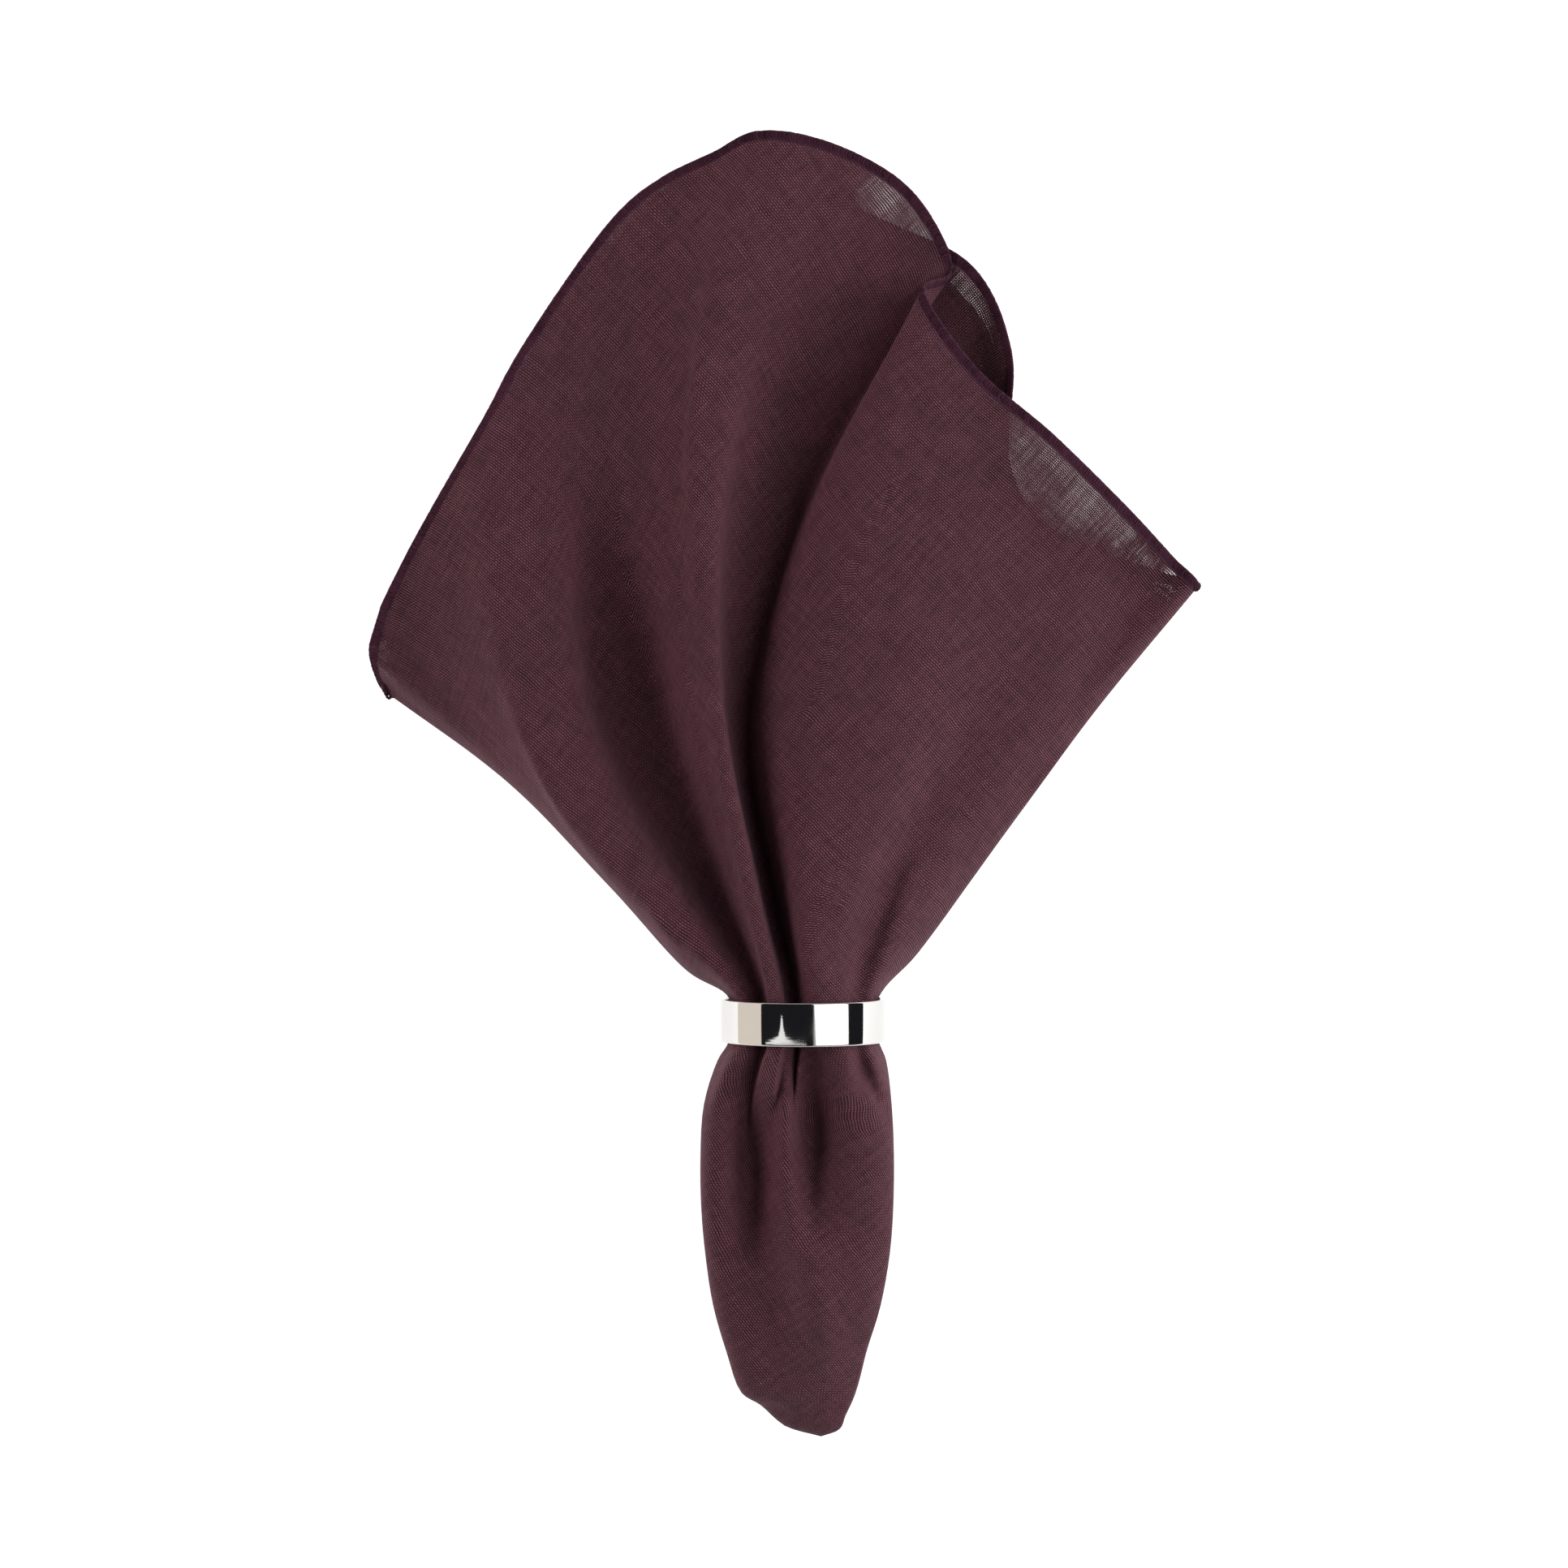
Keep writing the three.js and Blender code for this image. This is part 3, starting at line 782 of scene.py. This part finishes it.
# %% Pull the flat cloth into shape
def pull_flat(points, corner_column, passes):
    """Lay a grid of draped points flat; its last row is the hem."""
    along_hem = np.concatenate([[0], np.cumsum(lengths(points[-1], 0))])
    hem = hem_layout(along_hem[corner_column], along_hem, CORNER_RADIUS)
    inward = np.cumsum(lengths(points, 0)[::-1], axis=0)[::-1]
    inward = np.vstack([inward, np.zeros((1, points.shape[1]))])
    middle = np.array([hem[0, 0], hem[-1, 1]])
    way = middle - hem
    way /= np.linalg.norm(way, axis=-1, keepdims=True)
    flat = hem + way * inward[..., None]
    flat[-1] = hem
    everything, but_last, but_first = slice(None), slice(None, -1), slice(1, None)
    links = []
    for (ra, ca), (rb, cb) in [
        ((everything, but_last), (everything, but_first)),
        ((but_last, everything), (but_first, everything)),
        ((but_last, but_last), (but_first, but_first)),
        ((but_first, but_last), (but_last, but_first)),
    ]:
        length = np.linalg.norm(points[ra, ca] - points[rb, cb], axis=-1, keepdims=True)
        links.append(((ra, ca), (rb, cb), length))
    speed = np.zeros_like(flat)
    for _ in range(passes):
        move = np.zeros_like(flat)
        for one, other, length in links:
            gap = flat[other] - flat[one]
            now = np.sqrt((gap ** 2).sum(-1, keepdims=True)) + 1e-9
            gap *= 0.5 * (1 - length / now)
            move[one] += gap
            move[other] -= gap
        speed = 0.93 * speed + 0.2 * move
        speed[-1] = 0
        flat += speed
    across, up = links[0][2][..., 0], links[1][2][..., 0]
    strain = [np.abs(lengths(flat, 1) / across - 1), np.abs(lengths(flat, 0) / up - 1)]
    print("laid flat,", points.shape[:2], "median strain across and along:",
          [round(float(np.median(v)), 3) for v in strain])
    return flat


# %% [markdown]
# The front corner shows, so it gets three times the passes of the hidden ones. The tail is a tube
# and is laid out without springs: its rows lie straight, one below another, and are turned so that
# the weave slants across the tail as it does on the real one.

# %% The five pieces of the map
MAP_UNIT = 500.0         # millimetres of cloth in one unit of the map
FRONT_PASSES, HIDDEN_PASSES = 1500, 500
TAIL_SLANT = -33
TIP_TO_FIRST_ROW = 6.0
wide = closed_round(cloth)
front_corner = int(starts[7]) + SHARP_STEPS // 2
islands = []
for k, (first, last) in enumerate(zip(side_folds[:-1], side_folds[1:])):
    corner = front_corner if k == 0 else (last - first) // 2
    passes = FRONT_PASSES if k == 0 else HIDDEN_PASSES
    islands.append(pull_flat(wide[seam_row:, first:last + 1], corner, passes))

across_tail = np.concatenate([np.zeros((seam_row + 1, 1)), np.cumsum(
    lengths(wide[:seam_row + 1], 1), axis=1)], axis=1)
middle_column = int(starts[8])
across_tail -= across_tail[:, middle_column:middle_column + 1]
down_tail = np.concatenate([[0], np.cumsum(lengths(wide[:seam_row + 1], 0).mean(1))])
down_tail += TIP_TO_FIRST_ROW
tail_flat = np.stack([across_tail, np.repeat(down_tail[:, None], AROUND + 1, 1)], -1)
slant = math.radians(TAIL_SLANT)
turn = np.array([[math.cos(slant), -math.sin(slant)], [math.sin(slant), math.cos(slant)]])
tail_flat = tail_flat @ turn.T

from_hem = np.cumsum(lengths(cloth, 0)[::-1], axis=0)[::-1]
from_hem = np.vstack([from_hem, np.zeros((1, AROUND))])
print("the hem is", round(float(lengths(wide[-1], 0).sum())), "mm round")

# %% [markdown]
# ## The cloth as one mesh
#
# The sheet could be a plane that a simulation drops and pulls, but its folds would then fall where
# they like. Here the rows of points become one grid of four-sided faces, closed round the tail,
# with triangles at the tip. Three things are stored with it for the material: the flat cloth as a
# texture map, the distance from the hem, and where the cloth is worn thin.

# %% Make the mesh
place = np.array([ring_middle.x, ring_middle.y, 0.0])


def in_frame(points):
    return np.asarray(points) * MM + place


vertices = np.vstack([[TAIL_TIP], cloth.reshape(-1, 3)])
faces, corners = [], []
spots = [(1.0, 1.0, 1, 1), (1.0, 0.0, 1, -1), (0.0, 0.0, -1, -1), (0.0, 1.0, -1, 1)]


def at(row, column):
    return 1 + row * AROUND + column % AROUND


def on_map(region, row, column):
    if region < 0:
        u, v = tail_flat[row, column]
        return 0.5 + u / MAP_UNIT, 0.3 + v / MAP_UNIT
    x0, y0, sx, sy = spots[region]
    u, v = islands[region][row - seam_row, column - side_folds[region]]
    return x0 + sx * u / MAP_UNIT, y0 + sy * v / MAP_UNIT


for i in range(AROUND):
    faces.append((0, at(0, i + 1), at(0, i)))
    corners += [(0.5, 0.3), on_map(-1, 0, i + 1), on_map(-1, 0, i)]
for row in range(ROWS - 1):
    region = -1
    for i in range(AROUND):
        if row >= seam_row and (i == 0 or i == side_folds[region + 1]):
            region += 1
        faces.append((at(row, i), at(row, i + 1), at(row + 1, i + 1), at(row + 1, i)))
        corners += [on_map(region, row, i), on_map(region, row, i + 1),
                    on_map(region, row + 1, i + 1), on_map(region, row + 1, i)]

mesh = bpy.data.meshes.new("linen_napkin")
mesh.from_pydata(in_frame(vertices), [], faces)
mesh.polygons.foreach_set("use_smooth", [True] * len(faces))
mesh.uv_layers.new(name="flat_cloth").data.foreach_set("uv", np.array(corners).ravel())
hem_distance = mesh.attributes.new("from_hem", "FLOAT", "POINT")
hem_distance.data.foreach_set("value", np.concatenate([[300.0], from_hem.ravel()]))
# where the cloth is worn thin: from x, y, to x, y, half width, how thin
THIN = [((56, 136), (88, 113), 13.0, 1.0), ((20, 200), (31, 185), 7.0, 0.8),
        ((40, 176), (44, 156), 6.0, 1.0), ((-101, 92), (-92, 118), 10.0, 0.4),
        ((75, 120), (90, 110), 8.0, 0.8)]
thin = sum(near_line(cloth, start, end, half_width)[0] * much
           for start, end, half_width, much in THIN)
mesh.attributes.new("worn_thin", "FLOAT", "POINT").data.foreach_set(
    "value", np.concatenate([[0.0], np.clip(thin, 0, 1.6).ravel()]))
linen_napkin = bpy.data.objects.new("linen_napkin", mesh)
bpy.context.scene.collection.objects.link(linen_napkin)
print("napkin:", len(faces), "faces")

# %% [markdown]
# Linen like this is about a third of a millimetre thick. Solidify gives the sheet its second side
# and closes the hem with a rim. The result is then kept as a plain mesh.

# %% Thickness
wall = linen_napkin.modifiers.new("thickness", "SOLIDIFY")
wall.thickness = 0.36 * MM
wall.offset = 0.0
wall.use_rim = True
evaluated = linen_napkin.evaluated_get(bpy.context.evaluated_depsgraph_get())
linen_napkin.data = bpy.data.meshes.new_from_object(evaluated)
linen_napkin.modifiers.clear()
print("napkin with its thickness:", len(linen_napkin.data.polygons), "faces")

# %% [markdown]
# ## The linen
#
# Plain weave is the simplest cloth: every thread goes over one and under the next. Linen threads
# are uneven, thick in places and thin in others, and this cloth is loosely woven, so light comes
# through between them. Counted in the photograph, they are 0.58 mm apart one way and 0.42 mm the
# other. Modelled threads would need millions of faces, so the material works in threads instead: it
# finds which thread is on top at each place, how round it is there, how thick, how deeply dyed, and
# where the little holes are. Where the cloth is worn thin its threads get thinner, and the holes
# open until the white table shows.

# %% Linen weave
THREADS = (MAP_UNIT / 0.58, MAP_UNIT / 0.42)     # how many in one unit of the map, each way


def linen(name="burgundy_linen"):
    tree = Tree(name)
    flat = tree.add("ShaderNodeUVMap", {"uv_map": "flat_cloth"}).outputs[0]
    drift = tree.noise(flat, 55.0, detail=3.0)
    shift = tree.add("ShaderNodeVectorMath", {"operation": "MULTIPLY_ADD"})
    tree.set(shift.inputs[0], drift.outputs["Color"])
    shift.inputs[1].default_value = (0.0030, 0.0030, 0.0)
    tree.set(shift.inputs[2], flat)
    apart = tree.add("ShaderNodeSeparateXYZ", Vector=shift.outputs[0])
    threads = [tree.calc("MULTIPLY", apart.outputs[k], THREADS[k]) for k in (0, 1)]
    count = [tree.calc("FLOOR", t) for t in threads]
    side = [tree.calc("ABSOLUTE", tree.calc("SUBTRACT", tree.calc("FRACT", t), 0.5))
            for t in threads]

    # every thread has its own thickness and dye, and both change slowly along it
    slub = []
    for k in (0, 1):
        own = tree.calc("MULTIPLY", count[k], 0.731 + 0.118 * k)
        run = tree.calc("MULTIPLY", apart.outputs[1 - k], 42.0)
        slub.append(tree.noise(tree.vector(own, run, 3.0 + 5 * k), 1.0, detail=2.0))
    edge = tree.add("ShaderNodeAttribute", {"attribute_name": "from_hem"}).outputs["Fac"]
    worn = tree.add("ShaderNodeAttribute", {"attribute_name": "worn_thin"}).outputs["Fac"]
    patchy = tree.noise(flat, 40.0, detail=3.0).outputs["Fac"]
    loose = tree.calc("MULTIPLY", tree.calc("MULTIPLY", worn, 0.15),
                     tree.between(patchy, 0.38, 0.58, 0.65, 1.0))
    width = [tree.calc("SUBTRACT", tree.between(slub[k].outputs["Fac"], 0.28, 0.72,
                                               (0.37, 0.33)[k], (0.49, 0.53)[k],
                                               smooth=False), loose) for k in (0, 1)]
    dye = [slub[k].outputs["Color"] for k in (0, 1)]

    # over and under: odd and even crossings
    odd = tree.calc("MODULO", tree.calc("ADD", tree.calc("ADD", count[0], count[1]), 2000.0), 2.0)
    over = tree.calc("GREATER_THAN", odd, 0.5)

    def pick(first, second):
        node = tree.add("ShaderNodeMix")
        for socket, value in zip((node.inputs[0], node.inputs[2], node.inputs[3]),
                                 (over, second, first)):
            tree.set(socket, value)
        return node.outputs[0]

    # the thread on top, and how high it stands: round across, and arched along its float
    cover = [tree.between(tree.calc("DIVIDE", side[k], width[k]), 0.35, 1.1, 1.0, 0.0)
             for k in (0, 1)]
    arch = [tree.between(side[k], 0.0, 0.5, (0.9, 1.0)[k], (0.28, 0.72)[k]) for k in (0, 1)]
    top = pick(tree.calc("MULTIPLY", cover[0], arch[1]), tree.calc("MULTIPLY", cover[1], arch[0]))
    under = pick(tree.calc("MULTIPLY", cover[1], 0.3), tree.calc("MULTIPLY", cover[0], 0.6))
    height = tree.calc("MAXIMUM", top, under)

    # holes are where neither thread reaches
    reach = [tree.calc("SUBTRACT", side[k], tree.calc("MULTIPLY", width[k], 0.93)) for k in (0, 1)]
    hole = tree.between(tree.calc("MINIMUM", reach[0], reach[1]), 0.0, 0.05)

    # the sewn edge is dense, and darker than the cloth
    hemmed = tree.between(edge, 2.0, 2.6, 1.0, 0.0)
    hole = tree.calc("MULTIPLY", hole, tree.calc("SUBTRACT", 1.0, hemmed))

    # colour: two dyes along the threads, broad fading, and painted shade between the threads
    cloudy = tree.noise(flat, 14.0, detail=4.0, roughness=0.6).outputs["Fac"]
    mix_a = tree.blend(tree.between(slub[0].outputs["Fac"], 0.3, 0.7),
                       (0.262, 0.093, 0.122, 1), (0.158, 0.060, 0.083, 1))
    mix_b = tree.blend(tree.between(slub[1].outputs["Fac"], 0.3, 0.7),
                       (0.125, 0.040, 0.056, 1), (0.165, 0.060, 0.078, 1))
    colour_node = tree.add("ShaderNodeMix", {"data_type": "RGBA"})
    tree.set(colour_node.inputs[0], over)
    tree.set(colour_node.inputs[6], mix_b)
    tree.set(colour_node.inputs[7], mix_a)
    faded = tree.blend(tree.between(cloudy, 0.35, 0.7, 0.0, 0.35), colour_node.outputs[2],
                       (0.125, 0.052, 0.078, 1))
    # a few neighbouring threads are a little paler or darker together, for a finger's width
    bands = [tree.noise(tree.vector(tree.calc("MULTIPLY", apart.outputs[k], 420.0),
                                    tree.calc("MULTIPLY", apart.outputs[1 - k], 50.0), 7.0 * k),
                        1.0, detail=3.0, roughness=0.7).outputs["Fac"] for k in (0, 1)]
    pale = tree.between(tree.calc("ADD", bands[0], bands[1]), 0.75, 1.25, 0.72, 1.28, smooth=False)
    scaled = tree.add("ShaderNodeVectorMath", {"operation": "SCALE"}, Vector=faded)
    tree.set(scaled.inputs["Scale"], pale)
    faded = scaled.outputs[0]
    # painted shade: where a thread stands low, at its sides, at the ends of its float and in the
    # gaps, its colour is darkened towards near black
    cloth_with_painted_shade = tree.blend(tree.between(height, 0.1, 0.85), (0.016, 0.003, 0.006, 1), faded)
    plum = tree.blend(slub[0].outputs["Fac"], (0.045, 0.014, 0.026, 1), (0.070, 0.020, 0.040, 1))
    colour = tree.blend(hemmed, cloth_with_painted_shade, plum)
    bump = tree.add("ShaderNodeBump", Strength=0.55, Distance=0.00025, Height=height)
    shader = tree.add("ShaderNodeBsdfPrincipled", Base_Color=colour, Roughness=0.82,
                      Alpha=tree.calc("SUBTRACT", 1.0, hole), Normal=bump.outputs[0],
                      Sheen_Weight=0.12, Sheen_Roughness=0.45, Sheen_Tint=(0.85, 0.55, 0.65, 1))
    shader.inputs["Specular IOR Level"].default_value = 0.25
    return tree.finish(shader.outputs[0])


linen_napkin.data.materials.append(linen())

# %% [markdown]
# ## The overlocked edge
#
# A machine sews a loop of thread round the raw edge every 0.7 mm, so close that the edge looks like
# a raised cord. A painted edge would be flat in its outline, and drawn loops would be thousands.
# All are alike, so Geometry Nodes makes them, from one loop. The thread's material comes first: it
# is darker than the cloth, and no two loops have quite the same tone.

# %% The thread of the edge
def hem_thread():
    tree = Tree("hem_thread")
    tone = tree.add("ShaderNodeAttribute", {"attribute_name": "stitch_tone"}).outputs["Fac"]
    here = tree.add("ShaderNodeTexCoord").outputs["Object"]
    cloudy = tree.noise(here, 45.0, detail=3.0).outputs["Fac"]
    fibre = tree.noise(here, 5200.0, detail=2.0).outputs["Fac"]
    dark = tree.blend(tone, (0.034, 0.009, 0.020, 1), (0.080, 0.022, 0.043, 1))
    colour = tree.blend(tree.between(cloudy, 0.4, 0.7, 0.0, 0.5), dark, (0.10, 0.030, 0.056, 1))
    bump = tree.add("ShaderNodeBump", Strength=0.4, Distance=0.0001, Height=fibre)
    shader = tree.add("ShaderNodeBsdfPrincipled", Base_Color=colour, Roughness=0.9,
                      Normal=bump.outputs[0], Sheen_Weight=0.08,
                      Sheen_Tint=(0.85, 0.55, 0.65, 1))
    shader.inputs["Specular IOR Level"].default_value = 0.2
    return tree.finish(shader.outputs[0])


thread_material = hem_thread()

# %% [markdown]
# The places of the stitches are measured off along the hem. Each has its own directions, one along
# the edge and one up from the cloth, which are evened out so that neighbours agree.

# %% Points along the hem
STITCH_PITCH = 0.68


def hem_points():
    edge, row_below = wide[-1], wide[-3]
    run = np.concatenate([[0], np.cumsum(lengths(edge, 0))])
    spots = np.arange(0, run[-1] - STITCH_PITCH / 2, STITCH_PITCH)

    def along(values):
        return np.stack([np.interp(spots, run, values[:, k]) for k in range(3)], -1)

    def unit(v):
        return v / np.linalg.norm(v, axis=-1, keepdims=True)

    place = along(edge)
    forward = unit(np.roll(place, -1, 0) - np.roll(place, 1, 0))
    inward = along(row_below) - place
    up = unit(np.cross(forward, -inward))
    for _ in range(6):
        forward = unit(forward + np.roll(forward, 1, 0) + np.roll(forward, -1, 0))
        up = unit(up + np.roll(up, 1, 0) + np.roll(up, -1, 0))
    return place, -forward, up


stitch_places, stitch_forward, stitch_up = hem_points()
edge_mesh = bpy.data.meshes.new("overlocked_edge")
edge_mesh.from_pydata(in_frame(stitch_places), [], [])
edge_mesh.materials.append(thread_material)
for name, values in (("forward", stitch_forward), ("up", stitch_up)):
    edge_mesh.attributes.new(name, "FLOAT_VECTOR", "POINT").data.foreach_set(
        "vector", values.ravel())
overlocked_edge = bpy.data.objects.new("overlocked_edge", edge_mesh)
bpy.context.scene.collection.objects.link(overlocked_edge)
print("stitches:", len(stitch_places))


# %% [markdown]
# The tree bends a circle into one loop and gives it the thickness of thread. It sets a copy on
# every place and turns it by the two directions, with a little difference in size and tone from
# fixed seeds. The sizes are inputs with names, so that another stitch needs no other tree.

# %% The tree that sews
STITCH = {"Loop length": 1.7, "Loop height": 0.15, "Overhang": 0.1, "Slant": 0.5,
          "Thread thickness": 0.74}


def sewing_tree(material):
    tree = bpy.data.node_groups.new("overlock_stitches", "GeometryNodeTree")
    face = tree.interface
    face.new_socket("Geometry", in_out="INPUT", socket_type="NodeSocketGeometry")
    named = {}
    for name, size in STITCH.items():
        named[name] = face.new_socket(name, in_out="INPUT", socket_type="NodeSocketFloat")
        named[name].default_value = size * MM
    face.new_socket("Geometry", in_out="OUTPUT", socket_type="NodeSocketGeometry")
    nodes, link = tree.nodes, tree.links.new

    def add(kind, **inputs):
        node = nodes.new(kind)
        for key, value in inputs.items():
            socket = node.inputs[int(key[1:])] if key[1:].isdigit() else node.inputs[key]
            if isinstance(value, bpy.types.NodeSocket):
                link(value, socket)
            else:
                socket.default_value = value
        return node

    def calc(operation, a, b):
        node = add("ShaderNodeMath", _0=a, _1=b)
        node.operation = operation
        return node.outputs[0]

    given = nodes.new("NodeGroupInput").outputs
    loop = add("GeometryNodeCurvePrimitiveCircle", Resolution=9, Radius=1.0)
    spot = add("ShaderNodeSeparateXYZ", _0=nodes.new("GeometryNodeInputPosition").outputs[0])
    half = calc("MULTIPLY", given["Loop length"], 0.5)
    reach = calc("SUBTRACT", calc("MULTIPLY", calc("ADD", spot.outputs[0], 1.0), half),
                given["Overhang"])
    lean = calc("MULTIPLY", spot.outputs[1], given["Slant"])
    rise = calc("MULTIPLY", spot.outputs[1], calc("MULTIPLY", given["Loop height"], 0.5))
    bent = add("ShaderNodeCombineXYZ", X=lean, Y=reach, Z=rise)
    shaped = add("GeometryNodeSetPosition", Geometry=loop.outputs[0], Position=bent.outputs[0])
    section = add("GeometryNodeCurvePrimitiveCircle", Resolution=4,
                  Radius=calc("MULTIPLY", given["Thread thickness"], 0.5))
    thread = add("GeometryNodeCurveToMesh", Curve=shaped.outputs[0],
                 _1=section.outputs[0])
    smooth = add("GeometryNodeSetShadeSmooth", Geometry=thread.outputs[0])
    ways = []
    for name in ("up", "forward"):
        node = nodes.new("GeometryNodeInputNamedAttribute")
        node.data_type = "FLOAT_VECTOR"
        node.inputs["Name"].default_value = name
        ways.append(node.outputs[0])
    turned = nodes.new("FunctionNodeAxesToRotation")
    turned.primary_axis, turned.secondary_axis = "Z", "X"
    link(ways[0], turned.inputs[0])
    link(ways[1], turned.inputs[1])
    size = nodes.new("FunctionNodeRandomValue")
    size.data_type = "FLOAT_VECTOR"
    size.inputs[0].default_value = (0.9, 0.9, 0.8)
    size.inputs[1].default_value = (1.1, 1.1, 1.2)
    size.inputs["Seed"].default_value = 4
    sewn = add("GeometryNodeInstanceOnPoints", Points=given["Geometry"],
               Instance=smooth.outputs[0], Rotation=turned.outputs[0], Scale=size.outputs[0])
    tone = nodes.new("FunctionNodeRandomValue")
    tone.data_type = "FLOAT"
    tone.inputs["Seed"].default_value = 9
    kept = nodes.new("GeometryNodeStoreNamedAttribute")
    kept.data_type, kept.domain = "FLOAT", "INSTANCE"
    kept.inputs["Name"].default_value = "stitch_tone"
    link(sewn.outputs[0], kept.inputs["Geometry"])
    link(tone.outputs[1], kept.inputs["Value"])
    real = add("GeometryNodeRealizeInstances", Geometry=kept.outputs[0])
    coloured = add("GeometryNodeSetMaterial", Geometry=real.outputs[0], Material=material)
    output = nodes.new("NodeGroupOutput")
    link(coloured.outputs[0], output.inputs[0])
    return tree, named


# %% [markdown]
# The modifier's values are set by the identifiers of their sockets. Its result is kept as a plain
# mesh with the thread's material as its only one, and the modifier is taken off.

# %% Sew the edge
tree, named = sewing_tree(thread_material)
sewing = overlocked_edge.modifiers.new("sewing", "NODES")
sewing.node_group = tree
for name, size in STITCH.items():
    sewing[named[name].identifier] = size * MM
evaluated = overlocked_edge.evaluated_get(bpy.context.evaluated_depsgraph_get())
sewn_mesh = bpy.data.meshes.new_from_object(evaluated)
overlocked_edge.modifiers.clear()
sewn_mesh.materials.clear()
sewn_mesh.materials.append(thread_material)
sewn_mesh.polygons.foreach_set("material_index", [0] * len(sewn_mesh.polygons))
overlocked_edge.data = sewn_mesh
print("edge:", len(sewn_mesh.polygons), "faces")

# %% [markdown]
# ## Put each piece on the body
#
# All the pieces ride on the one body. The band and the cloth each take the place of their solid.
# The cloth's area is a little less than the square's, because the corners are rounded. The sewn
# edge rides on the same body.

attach(polished_band, "root")
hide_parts("napkin_ring")
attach(linen_napkin, "root")
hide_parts("napkin")
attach(overlocked_edge, "root")
